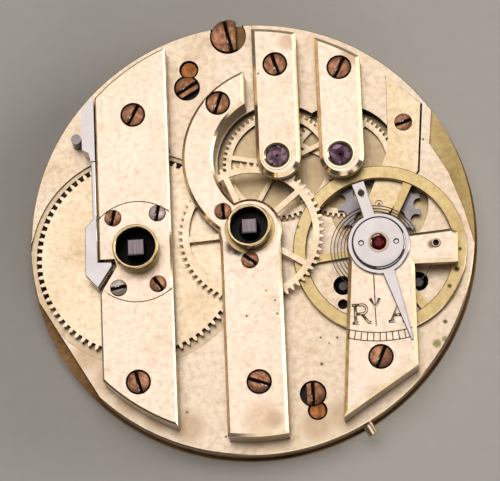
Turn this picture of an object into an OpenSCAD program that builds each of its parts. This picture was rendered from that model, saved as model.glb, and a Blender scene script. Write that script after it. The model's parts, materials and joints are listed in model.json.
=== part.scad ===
// Pocket watch movement of the bar kind, wound and set by a key, with a cylinder escapement.
// It lies on its dial: z = 0 is the dial's face, and the bridges and cocks stand towards +Z.
// The origin is on the centre wheel's axis. All sizes are in millimetres.

/* [Plate and dial] */
// Diameter of the main plate
plate_d = 43; // [42.6:0.1:45]
// Thickness of the main plate
plate_t = 2.5; // [2.45:0.05:2.8]
// How far the dial-side flange stands out past the plate
flange_out = 0.25; // [0.15:0.05:0.5]
// Height of the flange
flange_h = 0.5; // [0.3:0.05:0.7]
// Thickness of the enamel dial
dial_t = 0.8; // [0.7:0.05:1.2]
// Step from the plate's edge in to the dial's edge
dial_step = 0.3; // [0.1:0.05:0.6]
// Depth of the dial-side recess that holds the motion work
recess_h = 0.75; // [0.7:0.05:0.8]
// Width of the dial-side rim round that recess
recess_rim = 1.9; // [1.2:0.1:2.2]
// Thickness of plate left under the deep sinks
floor_t = 0.25; // [0.2:0.05:0.3]
// Distance from the centre to the flat that is filed for the case's joint
joint_flat = 20.7; // [20.4:0.05:21.1]
// Direction of that flat
joint_flat_angle = 210; // [200:1:215]
// Depth of the crescent sink at the rim
crescent_h = 0.35; // [0.2:0.05:0.6]

/* [Axes seen from the bridges] */
// Barrel axis
barrel_axis = [-10.9, -1.6]; // [-12:0.05:12]
// Third wheel axis
third_axis = [2.9, 7.2]; // [-12:0.05:12]
// Fourth wheel axis
fourth_axis = [9, 7]; // [-12:0.05:12]
// Escape wheel axis
escape_axis = [12.45, 2.5]; // [-13:0.05:13]
// Balance axis
balance_axis = [12.3, -2.2]; // [-13:0.05:13]
// Minute wheel axis, under the dial
minute_axis = [0, -3.2]; // [-4:0.05:4]

/* [Bars and cocks] */
// Height of the bars' tops above the plate
bar_rise = 2.8; // [2.75:0.05:3.2]
// Thickness of the bars where they pass over a wheel
bar_t = 1.15; // [1:0.05:1.2]
// Step from the plate's edge in to the ends of the bars
bar_end_step = 1.25; // [1:0.05:1.6]
// Barrel bridge, from the barrel axis to its left edge
barrel_bar_left = 3.7; // [3.5:0.05:3.8]
// Barrel bridge, from the barrel axis to its right edge
barrel_bar_right = 3.3; // [3.1:0.05:3.6]
// Half width of the centre bridge's straight bar
centre_bar_half = 2.9; // [2.75:0.05:3.1]
// Inner radius of the centre bridge's curved arm, about the third wheel
arm_inner_r = 6.2; // [6.1:0.05:6.6]
// Outer radius of the centre bridge's curved arm, about the third wheel
arm_outer_r = 9.2; // [8.8:0.05:9.3]
// Width of the third and fourth wheel cocks
cock_w = 4.3; // [4:0.05:4.6]
// Thickness of the escape cock, which lies flush in the plate
escape_cock_t = 0.55; // [0.45:0.05:0.6]
// Radius of the balance cock's round head
balance_head_r = 3.1; // [2.8:0.05:3.3]
// Width of the arm that carries the hairspring stud
stud_arm_w = 3.1; // [2.4:0.1:3.4]
// Clearance between the wheels' tips and the bars' feet
foot_gap = 1.05; // [0.7:0.05:1.1]

/* [Screws and pins] */
// Head radius of the bridge screws
bridge_screw_r = 1.08; // [0.9:0.02:1.15]
// Head radius of the small screws
small_screw_r = 0.8; // [0.6:0.02:0.85]
// Height of a screw head
screw_head_h = 0.5; // [0.35:0.05:0.55]
// Radius of a screw's threaded shank
shank_r = 0.42; // [0.3:0.02:0.5]
// Width of a screw slot
slot_w = 0.26; // [0.15:0.01:0.4]
// Depth of a screw slot
slot_h = 0.22; // [0.1:0.01:0.3]
// Room round a screw head in its counterbore
head_gap = 0.14; // [0.05:0.01:0.2]
// Head radius of the dog screws that hold the dial feet
dog_screw_r = 1.15; // [1:0.05:1.2]
// Head radius of the case screw
case_screw_r = 1.65; // [1.4:0.05:1.8]
// Radius of the copper dial feet
dial_foot_r = 0.75; // [0.6:0.05:0.9]
// Radius of the brass case pin
case_pin_r = 0.55; // [0.4:0.05:0.6]
// How far the case pin stands out of the flange
case_pin_out = 0.9; // [0.6:0.1:1.4]
// Radius of the steel post by the click
post_r = 0.5; // [0.35:0.05:0.6]
// Height of that post above the plate
post_rise = 2; // [0.8:0.1:2.6]

/* [Barrel and winding] */
// Teeth of the barrel
barrel_teeth = 80; // [72:1:88]
// Thickness of the barrel's toothed rim
barrel_rim_t = 0.65; // [0.5:0.05:0.7]
// Height of the barrel's top above the plate
barrel_rise = 0.6; // [0.5:0.05:0.65]
// Step from the pitch circle in to the drum's wall
drum_step = 0.6; // [0.5:0.05:0.9]
// Wall of the drum
drum_wall = 0.4; // [0.3:0.05:0.5]
// Thickness of the barrel's snapped-in cover
cover_t = 0.18; // [0.12:0.02:0.22]
// Turns of the mainspring
mainspring_turns = 8; // [6:1:9]
// Thickness of the mainspring's strip
mainspring_t = 0.22; // [0.16:0.02:0.26]
// Radius of the barrel arbor's core, which the mainspring hooks on
core_r = 2; // [1.6:0.1:2.2]
// Radius of the barrel arbor where it turns in the bridge
arbor_r = 1.18; // [1.16:0.01:1.3]
// Side of the winding square
winding_square = 1.6; // [1.4:0.02:1.62]
// Tip radius of the ratchet wheel
ratchet_r = 2.5; // [2.2:0.02:2.54]
// Teeth of the ratchet wheel
ratchet_teeth = 20; // [16:1:24]
// Radius of the round cap over the ratchet
cap_r = 4.95; // [4.7:0.05:5.1]
// Thickness of that cap
cap_t = 0.45; // [0.4:0.02:0.5]
// Outer radius of the winding ring
winding_ring_r = 2.2; // [2.1:0.02:2.4]
// Wall of the rings round both squares
ring_wall = 0.3; // [0.2:0.02:0.4]
// Height of the winding ring above the bridge
winding_ring_h = 2.1; // [1.8:0.1:2.4]

/* [Train] */
// Thickness of the train wheels
wheel_t = 0.26; // [0.22:0.01:0.28]
// Teeth of the centre pinion
centre_leaves = 10; // [10:1:12]
// Teeth of the centre wheel
centre_teeth = 64; // [60:1:72]
// Leaves of the third pinion
third_leaves = 8; // [8:1:10]
// Teeth of the third wheel
third_teeth = 60; // [56:1:66]
// Leaves of the fourth pinion
fourth_leaves = 8; // [8:1:10]
// Teeth of the fourth wheel
fourth_teeth = 60; // [56:1:66]
// Leaves of the escape pinion
escape_leaves = 6; // [6:1:8]
// Teeth of the escape wheel
escape_teeth = 15; // [13:1:15]
// Radius of the train's arbors
train_arbor_r = 0.35; // [0.3:0.01:0.4]
// Radius of the train's pivots
pivot_r = 0.12; // [0.1:0.01:0.15]
// Radius of the hollow centre arbor
centre_arbor_r = 0.85; // [0.8:0.01:0.88]
// Side of the setting square
setting_square = 1.45; // [1.3:0.02:1.5]
// Radius of the setting arbor inside the hollow centre arbor
setting_arbor_r = 0.42; // [0.38:0.01:0.46]
// Outer radius of the setting ring
setting_ring_r = 2.1; // [2:0.02:2.2]
// Height of the setting ring above the bridge
setting_ring_h = 1.6; // [1.4:0.1:1.9]
// Radius of the train jewels
jewel_r = 1.06; // [0.9:0.02:1.15]
// Radius of the gold settings round the train jewels
setting_r = 1.45; // [1.4:0.01:1.55]
// Thickness of the train jewels
jewel_t = 0.4; // [0.3:0.02:0.45]

/* [Balance] */
// Outer radius of the balance
balance_r = 8.35; // [8:0.05:8.5]
// Width of the balance's rim
balance_rim = 1.25; // [1:0.05:1.4]
// Thickness of the balance
balance_t = 0.5; // [0.4:0.02:0.55]
// Width of a balance arm at the rim
balance_arm_w = 0.95; // [0.6:0.05:1.2]
// Width of a balance arm where it leaves the hub
balance_arm_neck = 0.4; // [0.3:0.05:0.6]
// Radius of the balance's hollow cylinder
cylinder_r = 0.42; // [0.36:0.01:0.46]
// Radius of the hairspring's collet
collet_r = 0.85; // [0.75:0.01:0.95]
// Radius of the hairspring at its outer end
hairspring_r = 5.45; // [5.2:0.05:5.7]
// Turns of the hairspring
hairspring_turns = 7; // [5:1:7]
// Radius of the hairspring's wire
hairspring_wire = 0.07; // [0.05:0.005:0.09]
// Radius of the hairspring's stud
stud_r = 0.44; // [0.3:0.02:0.45]
// Outer radius of the regulator's ring
regulator_r = 2.98; // [2.8:0.02:3.05]
// Thickness of the regulator
regulator_t = 0.32; // [0.25:0.01:0.4]
// Length of the regulator's pointer from the balance axis
pointer_l = 9.9; // [9.4:0.1:10.2]
// Length of the regulator's tail from the balance axis
tail_l = 6.35; // [6.1:0.05:6.7]
// Direction of the pointer at rest
pointer_angle = -74; // [-76:1:-72]
// Radius of the polished endstone cap
endcap_r = 2.6; // [2.4:0.02:2.65]
// Thickness of the endstone cap's plate
endcap_t = 0.4; // [0.3:0.02:0.5]
// Radius of the ruby endstone
endstone_r = 0.6; // [0.5:0.02:0.7]

/* [Hidden] */
$fn = 72;

// Colours seen in the photograph
gilt = "#e3d3b0";
brass = "#cdb476";
olive = "#b09a5e";
steel = "#cfcac8";
dark_steel = "#4a4648";
copper = "#a8643c";
violet = "#7d5a74";
ruby = "#7a1420";
gold = "#d9bd78";
enamel = "#f4f1e8";

// Small clearances: a running shaft, a piece set in a hole, two wheels passing, and a cut's overrun
run = 0.03;
set_fit = 0.02;
pass = 0.15;
eps = 0.05;

// Heights, from the dial's face upwards
plate_r = plate_d / 2;
plate_z = dial_t;
plate_top = plate_z + plate_t;
web_z = plate_z + recess_h;
floor_z = web_z + floor_t;
bar_top = plate_top + bar_rise;
bar_under = bar_top - bar_t;
bar_end_r = plate_r - bar_end_step;
barrel_top = plate_top + barrel_rise;
barrel_rim_z = barrel_top - barrel_rim_t;
fourth_z = floor_z + pass;
third_z = fourth_z + wheel_t + 2 * pass;
escape_z = fourth_z + wheel_t + pass;
third_floor_z = third_z - wheel_t;
escape_cock_z = plate_top - escape_cock_t;
balance_z = plate_top + 0.24;
balance_top = balance_z + balance_t;
centre_z = barrel_top + 0.45;
hairspring_z = balance_top + 0.45;
cap_z = bar_top - cap_t;
ratchet_t = 0.34;
ratchet_z = cap_z - ratchet_t - run;
endcap_z = bar_top + regulator_t + 2 * run;
hour_z = plate_z + 0.1;
hour_t = 0.2;
minute_z = hour_z + hour_t + 0.08;
minute_t = web_z - minute_z - 0.1;

// Gears: the modules come from the distance between the axes
origin = [0, 0];
function gap(a, b) = norm(a - b);
function heading(a, b) = atan2(b[1] - a[1], b[0] - a[0]);
function share(a, b, n, other) = gap(a, b) * n / (n + other);
wheel_addendum = 0.85;
pinion_addendum = 0.5;
barrel_pitch = share(barrel_axis, origin, barrel_teeth, centre_leaves);
centre_pinion_pitch = share(barrel_axis, origin, centre_leaves, barrel_teeth);
centre_pitch = share(origin, third_axis, centre_teeth, third_leaves);
third_pinion_pitch = share(origin, third_axis, third_leaves, centre_teeth);
third_pitch = share(third_axis, fourth_axis, third_teeth, fourth_leaves);
fourth_pinion_pitch = share(third_axis, fourth_axis, fourth_leaves, third_teeth);
fourth_pitch = share(fourth_axis, escape_axis, fourth_teeth, escape_leaves);
escape_pinion_pitch = share(fourth_axis, escape_axis, escape_leaves, fourth_teeth);
function tip_r(pitch, n, addendum) = pitch + addendum * 2 * pitch / n;
barrel_tip = tip_r(barrel_pitch, barrel_teeth, wheel_addendum);
centre_tip = tip_r(centre_pitch, centre_teeth, wheel_addendum);
third_tip = tip_r(third_pitch, third_teeth, wheel_addendum);
fourth_tip = tip_r(fourth_pitch, fourth_teeth, wheel_addendum);
centre_pinion_tip = tip_r(centre_pinion_pitch, centre_leaves, pinion_addendum);
escape_tip = gap(escape_axis, balance_axis) - cylinder_r - pass;
cannon_leaves = 12;
minute_teeth = 36;
minute_leaves = 10;
hour_teeth = 40;
cannon_pitch = share(origin, minute_axis, cannon_leaves, minute_teeth);
minute_pitch = share(origin, minute_axis, minute_teeth, cannon_leaves);
minute_pinion_pitch = share(origin, minute_axis, minute_leaves, hour_teeth);
hour_pitch = share(origin, minute_axis, hour_teeth, minute_leaves);

// Turns a gear so that it has a gap where its neighbour has a tooth
function mate(a, b, n_a, n_b, phase_a) =
    heading(a, b) + 180 - (0.5 - (heading(a, b) - phase_a) * n_a / 360) * 360 / n_b;
centre_pinion_phase = mate(barrel_axis, origin, barrel_teeth, centre_leaves, 0);
third_pinion_phase = mate(origin, third_axis, centre_teeth, third_leaves, 0);
fourth_pinion_phase = mate(third_axis, fourth_axis, third_teeth, fourth_leaves, 0);
escape_pinion_phase = mate(fourth_axis, escape_axis, fourth_teeth, escape_leaves, 0);
minute_phase = mate(origin, minute_axis, cannon_leaves, minute_teeth, 0);
hour_phase = mate(minute_axis, origin, minute_leaves, hour_teeth, 0);

// Sinks in the plate
tooth_sink_r = barrel_tip + 0.68;
tooth_sink_z = barrel_rim_z - 0.2;
drum_r = barrel_pitch - drum_step;
drum_sink_r = drum_r + 0.35;
third_sink_r = third_tip + 0.42;
fourth_sink_r = fourth_tip + 0.42;
escape_sink_r = escape_tip + 0.65;
staff_hole_r = 0.85;

// Places of screws, pins and feet, seen from the bridges
barrel_bar_screws = [[-10.9, 12.1], [-11.2, -14.4]];
centre_bar_screws = [[-2.6, 12.8], [0.3, -15]];
third_cock_screw_at = [3.1, 16.4];
fourth_cock_screw_at = [9.3, 15.7];
balance_cock_screw_at = [11.95, -13.2];
cap_screws = [[-13.15, 1.85], [-8.85, 2.1], [-12.8, -5.1], [-9, -4.9]];
setting_ring_screws_at = [[-2.5, 1.9], [-0.1, -3.05]];
escape_cock_screw_at = [15.2, 10.6];
dial_feet_at = [[-5.5, 17.2], [5.6, -17.5]];
dog_screws_at = [[-5.75, 15.35], [5.25, -15.85]];
case_screw_at = (plate_r - 1.05) * [sin(-4.3), cos(-4.3)];
case_pin_angle = -61.5;
case_pin_gap = 0.15;
case_pin_z = plate_z + flange_h + case_pin_gap + case_pin_r;
click_post_at = [-16.6, 10.2];
chariot_screws_at = [[8.6, -5.4], [15.85, -5.4]];
chariot_holes_at = [[8.5, -7.25], [16, -7.5]];
stud_at = balance_axis + [hairspring_r, -0.2];
bridge_screw_slots = [61, -76, 70, -21, 106, 63, 65];
setting_screw_slots = [92, -40];
dog_screw_slots = [30, 90];
dog_flat_angles = [-60, 180];
bridge_screw_list = concat(barrel_bar_screws, centre_bar_screws,
    [third_cock_screw_at, fourth_cock_screw_at, balance_cock_screw_at]);
thread_end_z = floor_z + 0.4;

// Screw heads that are let into the plate, and the flats filed on two kinds of them
foot_room = 0.2;
foot_sink = 0.2;
dog_sink = 0.65;
dog_flat = 0.65;
case_sink = 0.45;
case_head_rise = 0.25;
case_screw_flat = 0.82;
case_screw_slot = 102;
escape_screw_slot = 17;

// The click's outline, beside the barrel bridge
bar_left_x = barrel_axis[0] - barrel_bar_left;
click_gap = 0.12;
click_x = bar_left_x - click_gap;
click_under = bar_top - 1;
click_pivot_y = 7.6;

// Shared building blocks
module at(p) {
    translate([p[0], p[1], 0]) children();
}
module slab(z0, z1) {
    translate([0, 0, z0]) linear_extrude(z1 - z0) children();
}
module disc(r, z0, z1) {
    translate([0, 0, z0]) cylinder(r = r, h = z1 - z0);
}
module tube(r, bore, z0, z1) {
    difference() {
        disc(r, z0, z1);
        disc(bore, z0 - eps, z1 + eps);
    }
}
module square_bar(side, z0, z1) {
    translate([-side / 2, -side / 2, z0]) cube([side, side, z1 - z0]);
}
// A slotted screw: its head's top is at z, and its shank goes down to z_end
module screw(z, head_r, head_h, z_end, slot_angle, r = shank_r) {
    difference() {
        union() {
            disc(head_r, z - head_h, z);
            disc(r, z_end, z - head_h + eps);
        }
        rotate(slot_angle)
            translate([-head_r - eps, -slot_w / 2, z - slot_h])
                cube([2 * head_r + 2 * eps, slot_w, slot_h + eps]);
    }
}
// Counterbore and hole for a screw whose head's top is at z
module screw_seat(z, head_r, head_h, z_end, r = shank_r) {
    disc(head_r + head_gap, z - head_h, z + 1);
    disc(r + set_fit, z_end, z);
}
// Outline of a toothed wheel with pointed teeth, or of a pinion with round-topped leaves
module teeth(n, pitch, addendum, dedendum, root_w, pitch_w, tip_w) {
    module_mm = 2 * pitch / n;
    step = 360 / n;
    root = pitch - dedendum * module_mm;
    tip = pitch + addendum * module_mm;
    corner = [[root, -root_w], [pitch, -pitch_w], [tip, -tip_w],
              [tip, tip_w], [pitch, pitch_w], [root, root_w]];
    polygon([for (i = [0 : n - 1], c = corner)
        c[0] * [cos((i + c[1] / 2) * step), sin((i + c[1] / 2) * step)]]);
}
module wheel_teeth(n, pitch) {
    teeth(n, pitch, wheel_addendum, 1.25, 0.5, 0.42, 0.14);
}
module pinion_teeth(n, pitch) {
    teeth(n, pitch, pinion_addendum, 1.4, 0.34, 0.34, 0.18);
}
// A crossed-out wheel: a toothed rim, straight arms and a bored hub
module crossed_wheel(n, pitch, z0, z1, rim_w, arms, arm_w, hub_r, bore) {
    rim_in = pitch - 1.25 * 2 * pitch / n - rim_w;
    difference() {
        slab(z0, z1) wheel_teeth(n, pitch);
        difference() {
            disc(rim_in, z0 - eps, z1 + eps);
            disc(hub_r, z0 - 2 * eps, z1 + 2 * eps);
            for (i = [0 : arms - 1])
                rotate(i * 360 / arms)
                    translate([0, -arm_w / 2, z0 - 2 * eps])
                        cube([rim_in + eps, arm_w, z1 - z0 + 4 * eps]);
        }
        disc(bore, z0 - eps, z1 + eps);
    }
}
// A pinion cut on its arbor, with a pivot at each end and a seat for its wheel
module pinion_arbor(n, pitch, leaf_z0, leaf_z1, seat_r, seat_z0, seat_z1, low, high) {
    slab(leaf_z0, leaf_z1) pinion_teeth(n, pitch);
    disc(seat_r, seat_z0, seat_z1);
    disc(train_arbor_r, low, high);
    disc(pivot_r, low - 0.2, high + 0.25);
}
// Trims a bar's ends to the bridges' common circle
module bar_ends() {
    intersection() {
        children();
        disc(bar_end_r, 0, bar_top + 1);
    }
}

// Main plate: gilt brass with a flange, turned sinks for the wheels and drilled for every screw
module plate_blank() {
    difference() {
        union() {
            disc(plate_r, plate_z, plate_top);
            disc(plate_r + flange_out, plate_z, plate_z + flange_h);
        }
        disc(plate_r - recess_rim, plate_z - eps, web_z);
        rotate(joint_flat_angle)
            translate([joint_flat, -plate_r, plate_z + flange_h])
                cube([plate_r, plate_d, plate_t]);
        slab(plate_top - crescent_h, plate_top + eps)
            polygon([[17.6, 8.3], [18, plate_r - 9.6], [plate_r + 2, 12], [plate_r + 2, -3],
                     [plate_r, -2.2], [20.6, 1.5], [19.3, 5.3]]);
    }
}
module plate_sinks() {
    at(barrel_axis) disc(tooth_sink_r, tooth_sink_z, plate_top + eps);
    at(barrel_axis) disc(drum_sink_r, floor_z, plate_top + eps);
    at(third_axis) disc(third_sink_r, third_floor_z, plate_top + eps);
    at(fourth_axis) disc(fourth_sink_r, floor_z, plate_top + eps);
    at(escape_axis) disc(escape_sink_r, floor_z, plate_top + eps);
    slab(escape_cock_z, plate_top + eps) escape_cock_outline(run);
    slab(plate_z - eps, web_z) chariot_outline(pass);
}
module plate_bores() {
    at(barrel_axis) disc(arbor_r / 2 + run, web_z - eps, floor_z + eps);
    disc(centre_arbor_r + run, web_z - eps, plate_top + eps);
    at(third_axis) disc(pivot_r + run, web_z - eps, plate_top);
    at(fourth_axis) disc(pivot_r + run, web_z - eps, plate_top);
    at(escape_axis) disc(pivot_r + run, web_z - eps, plate_top);
    at(balance_axis) disc(staff_hole_r, web_z - eps, plate_top + eps);
    at(minute_axis) disc(0.45, web_z - eps, web_z + floor_t);
}
module plate_screw_holes() {
    for (p = bridge_screw_list) at(p) disc(shank_r + set_fit, thread_end_z, plate_top + eps);
    at(escape_cock_screw_at) disc(shank_r + set_fit, web_z - eps, plate_top + eps);
    at(click_post_at) disc(post_r + set_fit, thread_end_z, plate_top + eps);
    at(case_screw_at) disc(shank_r + set_fit, thread_end_z, plate_top + eps);
    at(case_screw_at) disc(case_screw_r + head_gap, plate_top - case_sink, plate_top + eps);
    for (i = [0, 1]) {
        at(dial_feet_at[i]) disc(dial_foot_r + foot_room, plate_z - eps, plate_top + eps);
        at(dog_screws_at[i]) screw_seat(plate_top, dog_screw_r, dog_sink, thread_end_z);
        at(chariot_screws_at[i]) disc(0.95, web_z - eps, plate_top + eps);
        at(chariot_holes_at[i]) disc(0.5, plate_top - 1, plate_top + eps);
    }
    rotate(case_pin_angle)
        translate([plate_r - 3, 0, case_pin_z])
            rotate([0, 90, 0]) cylinder(r = case_pin_r + set_fit, h = 4);
}
module main_plate() {
    color(gilt)
        difference() {
            plate_blank();
            plate_sinks();
            plate_bores();
            plate_screw_holes();
        }
}

// Dial: white enamel on copper, with holes for the hands' posts and the seconds hand
dial_hole_r = 1.75;
module dial() {
    color(enamel)
        difference() {
            disc(plate_r - dial_step, 0, dial_t);
            disc(dial_hole_r, -eps, dial_t + eps);
            at(fourth_axis) disc(0.35, -eps, dial_t + eps);
        }
}
// The feet are soldered to the back of the dial, and each is notched for the head of its dog screw
module dial_feet() {
    color(copper)
        for (i = [0, 1])
            difference() {
                at(dial_feet_at[i]) disc(dial_foot_r, dial_t, plate_top - foot_sink);
                at(dog_screws_at[i]) disc(dog_screw_r + 2 * run, plate_top - dog_sink - run, plate_top + eps);
            }
}
// A dog screw lets its foot go when the flat on its head is turned to it
module dial_foot_screws() {
    color(copper)
        for (i = [0, 1])
            at(dog_screws_at[i]) difference() {
                screw(plate_top - run, dog_screw_r, dog_sink - 2 * run, thread_end_z + eps,
                      dog_screw_slots[i]);
                rotate(dog_flat_angles[i])
                    translate([dog_flat, -2 * dog_screw_r, plate_top - dog_sink])
                        cube([dog_screw_r, 4 * dog_screw_r, dog_sink + eps]);
            }
}
// The case screw's head overhangs the rim, and one side of it is cut away so that it can let go
module case_screw() {
    head_h = case_sink + case_head_rise - run;
    color(copper)
        at(case_screw_at) difference() {
            screw(plate_top + case_head_rise, case_screw_r, head_h, thread_end_z + eps, case_screw_slot);
            translate([case_screw_flat, -2 * case_screw_r, plate_top - case_sink])
                cube([case_screw_r, 4 * case_screw_r, head_h + 2 * eps]);
        }
}
module case_pin() {
    color(brass)
        rotate(case_pin_angle)
            translate([plate_r - 2.8, 0, case_pin_z])
                rotate([0, 90, 0]) cylinder(r = case_pin_r, h = 2.8 + flange_out + case_pin_out);
}
module click_post() {
    color(steel) at(click_post_at) disc(post_r, thread_end_z + eps, plate_top + post_rise);
}

// Barrel bridge: a straight bar on two feet, with a round seat for the ratchet and its cap
module barrel_bar_block(z0, z1) {
    translate([bar_left_x, -plate_r, z0])
        cube([barrel_bar_left + barrel_bar_right, plate_d, z1 - z0]);
}
// The slot in the bridge's left side that lets the click reach the ratchet
module click_notch(z0, z1) {
    slab(z0, z1)
        polygon([[bar_left_x - 1, -2.2], [-13.1, -2.2], [-12.9, -3], [bar_left_x, -5.7],
                 [bar_left_x - 1, -5.7]]);
}
module barrel_bridge() {
    color(gilt)
        bar_ends() difference() {
            barrel_bar_block(plate_top, bar_top);
            at(barrel_axis) disc(barrel_tip + foot_gap, plate_top - eps, bar_under);
            at(barrel_axis) disc(cap_r, cap_z, bar_top + eps);
            at(barrel_axis) disc(ratchet_r + pass, ratchet_z - run, bar_top);
            at(barrel_axis) disc(arbor_r + run, plate_top, bar_top);
            click_notch(bar_under - eps, bar_top + eps);
            for (p = barrel_bar_screws)
                at(p) screw_seat(bar_top, bridge_screw_r, screw_head_h, plate_top - eps);
            for (p = cap_screws) at(p) disc(0.3 + set_fit, bar_under + 0.25, bar_top);
        }
}
cap_head_h = 0.3;
cap_head_sunk = 0.12;
module barrel_cap() {
    color(gilt)
        difference() {
            intersection() {
                at(barrel_axis) disc(cap_r - set_fit, cap_z, bar_top);
                barrel_bar_block(cap_z, bar_top);
            }
            at(barrel_axis) disc(winding_ring_r - ring_wall / 2 + set_fit, cap_z - eps, bar_top + eps);
            click_notch(cap_z - eps, bar_top + eps);
            for (p = cap_screws) {
                at(p) disc(small_screw_r + 0.03, bar_top - cap_head_sunk, bar_top + eps);
                at(p) disc(0.3 + set_fit, cap_z - eps, bar_top);
            }
        }
}
cap_screw_slots = [75, 78, 10, -58];
module barrel_cap_screws() {
    color(copper)
        for (i = [0 : 3])
            at(cap_screws[i])
                screw(bar_top - cap_head_sunk + cap_head_h, small_screw_r, cap_head_h, bar_under + 0.3,
                      cap_screw_slots[i], 0.3);
}
module winding_ring() {
    bore = winding_ring_r - ring_wall;
    color(gold)
        at(barrel_axis) {
            tube(winding_ring_r, bore, bar_top, bar_top + winding_ring_h);
            tube(winding_ring_r - ring_wall / 2, bore, cap_z + run, bar_top + eps);
        }
}

// Click: a steel spring whose foot stands on the plate and whose head holds the ratchet.
// The thin spring bends at its root, so the head and spring turn there as one body.
module click_spring() {
    color(steel)
        slab(plate_top, bar_top)
            polygon([[click_x, 14.05], [-15.95, 12.75], [-15.95, 8.9], [-15.3, click_pivot_y + 0.9],
                     [click_x, click_pivot_y + 0.9]]);
    color(steel)
        slab(click_under, bar_top)
            polygon([[click_x, click_pivot_y + 1], [-15.35, click_pivot_y + 1],
                     [click_x - 0.4, click_pivot_y + 0.06], [click_x, click_pivot_y + 0.06]]);
}
module click() {
    color(steel)
        slab(click_under, bar_top)
            polygon([[click_x, click_pivot_y], [click_x - 0.4, click_pivot_y], [click_x - 0.36, 1.9],
                     [-15.9, 0.95], [-15.95, -3.7], [-14.8, -5], [-13.35, -2.85], [-13.4, -2.5],
                     [click_x, -2.45]]);
}

// Centre bridge: a straight bar, a round head over the centre wheel and a curved arm
module centre_bridge_block() {
    union() {
        translate([-centre_bar_half, -plate_r, plate_top])
            cube([2 * centre_bar_half, plate_r, bar_rise]);
        disc(centre_bar_half + 0.15, plate_top, bar_top);
        difference() {
            at(third_axis) tube(arm_outer_r, arm_inner_r, plate_top, bar_top);
            translate([0, -plate_d, 0]) cube([plate_d, 2 * plate_d, bar_top + 1]);
            translate([-plate_d, -2 * plate_d, 0]) cube([2 * plate_d, 2 * plate_d, bar_top + 1]);
        }
    }
}
setting_flange_r = setting_ring_r + 0.3;
setting_flange_t = 0.3;
setting_flange_z = bar_top - setting_flange_t - 0.12;
module centre_bridge() {
    color(gilt)
        bar_ends() difference() {
            centre_bridge_block();
            disc(centre_tip + foot_gap, plate_top - eps, bar_under);
            at(barrel_axis) disc(tooth_sink_r + 0.2, plate_top - eps, bar_under);
            disc(centre_arbor_r + run, plate_top, bar_top);
            disc(setting_flange_r + set_fit, setting_flange_z, bar_top + eps);
            for (p = centre_bar_screws)
                at(p) screw_seat(bar_top, bridge_screw_r, screw_head_h, plate_top - eps);
            for (p = setting_ring_screws_at) {
                at(p) disc(small_screw_r + 0.05, setting_flange_z + setting_flange_t, bar_top + eps);
                at(p) disc(0.3 + set_fit, bar_under + 0.25, bar_top);
            }
        }
}
module setting_ring() {
    bore = setting_ring_r - ring_wall;
    color(gold)
        difference() {
            union() {
                disc(setting_flange_r, setting_flange_z, setting_flange_z + setting_flange_t);
                disc(setting_ring_r, setting_flange_z, bar_top + setting_ring_h);
            }
            disc(bore, setting_flange_z - eps, bar_top + setting_ring_h + eps);
            for (p = setting_ring_screws_at)
                at(p) disc(0.45, setting_flange_z - eps, bar_top);
        }
}
module setting_ring_screws() {
    color(copper)
        for (i = [0, 1])
            at(setting_ring_screws_at[i])
                screw(setting_flange_z + setting_flange_t + 0.32, small_screw_r, 0.32, bar_under + 0.3,
                      setting_screw_slots[i], 0.3);
}
module bridge_screws() {
    color(copper)
        for (i = [0 : len(bridge_screw_list) - 1])
            at(bridge_screw_list[i])
                screw(bar_top - 0.02, bridge_screw_r, screw_head_h - 0.02, thread_end_z + eps,
                      bridge_screw_slots[i]);
}

// Third and fourth wheel cocks: straight bars with a round end that holds the jewel
module train_cock(axis, screw_at, relief_r) {
    shift = 0.15;
    color(gilt)
        bar_ends() difference() {
            union() {
                translate([axis[0] + shift - cock_w / 2, axis[1], plate_top])
                    cube([cock_w, plate_r, bar_rise]);
                at(axis + [shift, 0]) disc(cock_w / 2, plate_top, bar_top);
            }
            at(axis) disc(relief_r, plate_top - eps, bar_under);
            at(axis) disc(setting_r + set_fit, bar_top - 2 * jewel_t, bar_top + eps);
            at(axis) disc(jewel_r - 0.2, bar_under - eps, bar_top);
            at(screw_at) screw_seat(bar_top, bridge_screw_r, screw_head_h, plate_top - eps);
        }
}
module third_cock() {
    train_cock(third_axis, third_cock_screw_at, third_sink_r + 0.25);
}
module fourth_cock() {
    train_cock(fourth_axis, fourth_cock_screw_at, fourth_sink_r + 0.25);
}
jewel_axes = [third_axis, fourth_axis];
setting_lip = 0.06;
module jewel_settings() {
    color(gold)
        for (p = jewel_axes) at(p)
            difference() {
                disc(setting_r, bar_top - 2 * jewel_t, bar_top + setting_lip);
                disc(jewel_r + set_fit, bar_top - jewel_t - setting_lip, bar_top + 1);
                disc(jewel_r - 0.2, bar_top - 1, bar_top);
                translate([0, 0, bar_top - setting_lip])
                    cylinder(r1 = jewel_r, r2 = setting_r - 0.08, h = 3 * setting_lip);
            }
}
module train_jewels() {
    color(violet)
        for (p = jewel_axes) at(p)
            difference() {
                disc(jewel_r, bar_top - jewel_t - setting_lip, bar_top - setting_lip);
                disc(pivot_r + run, bar_top - 1, bar_top + eps);
                translate([0, 0, bar_top - jewel_t / 2])
                    cylinder(r1 = pivot_r, r2 = jewel_r * 0.55, h = jewel_t / 2);
            }
}

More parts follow.
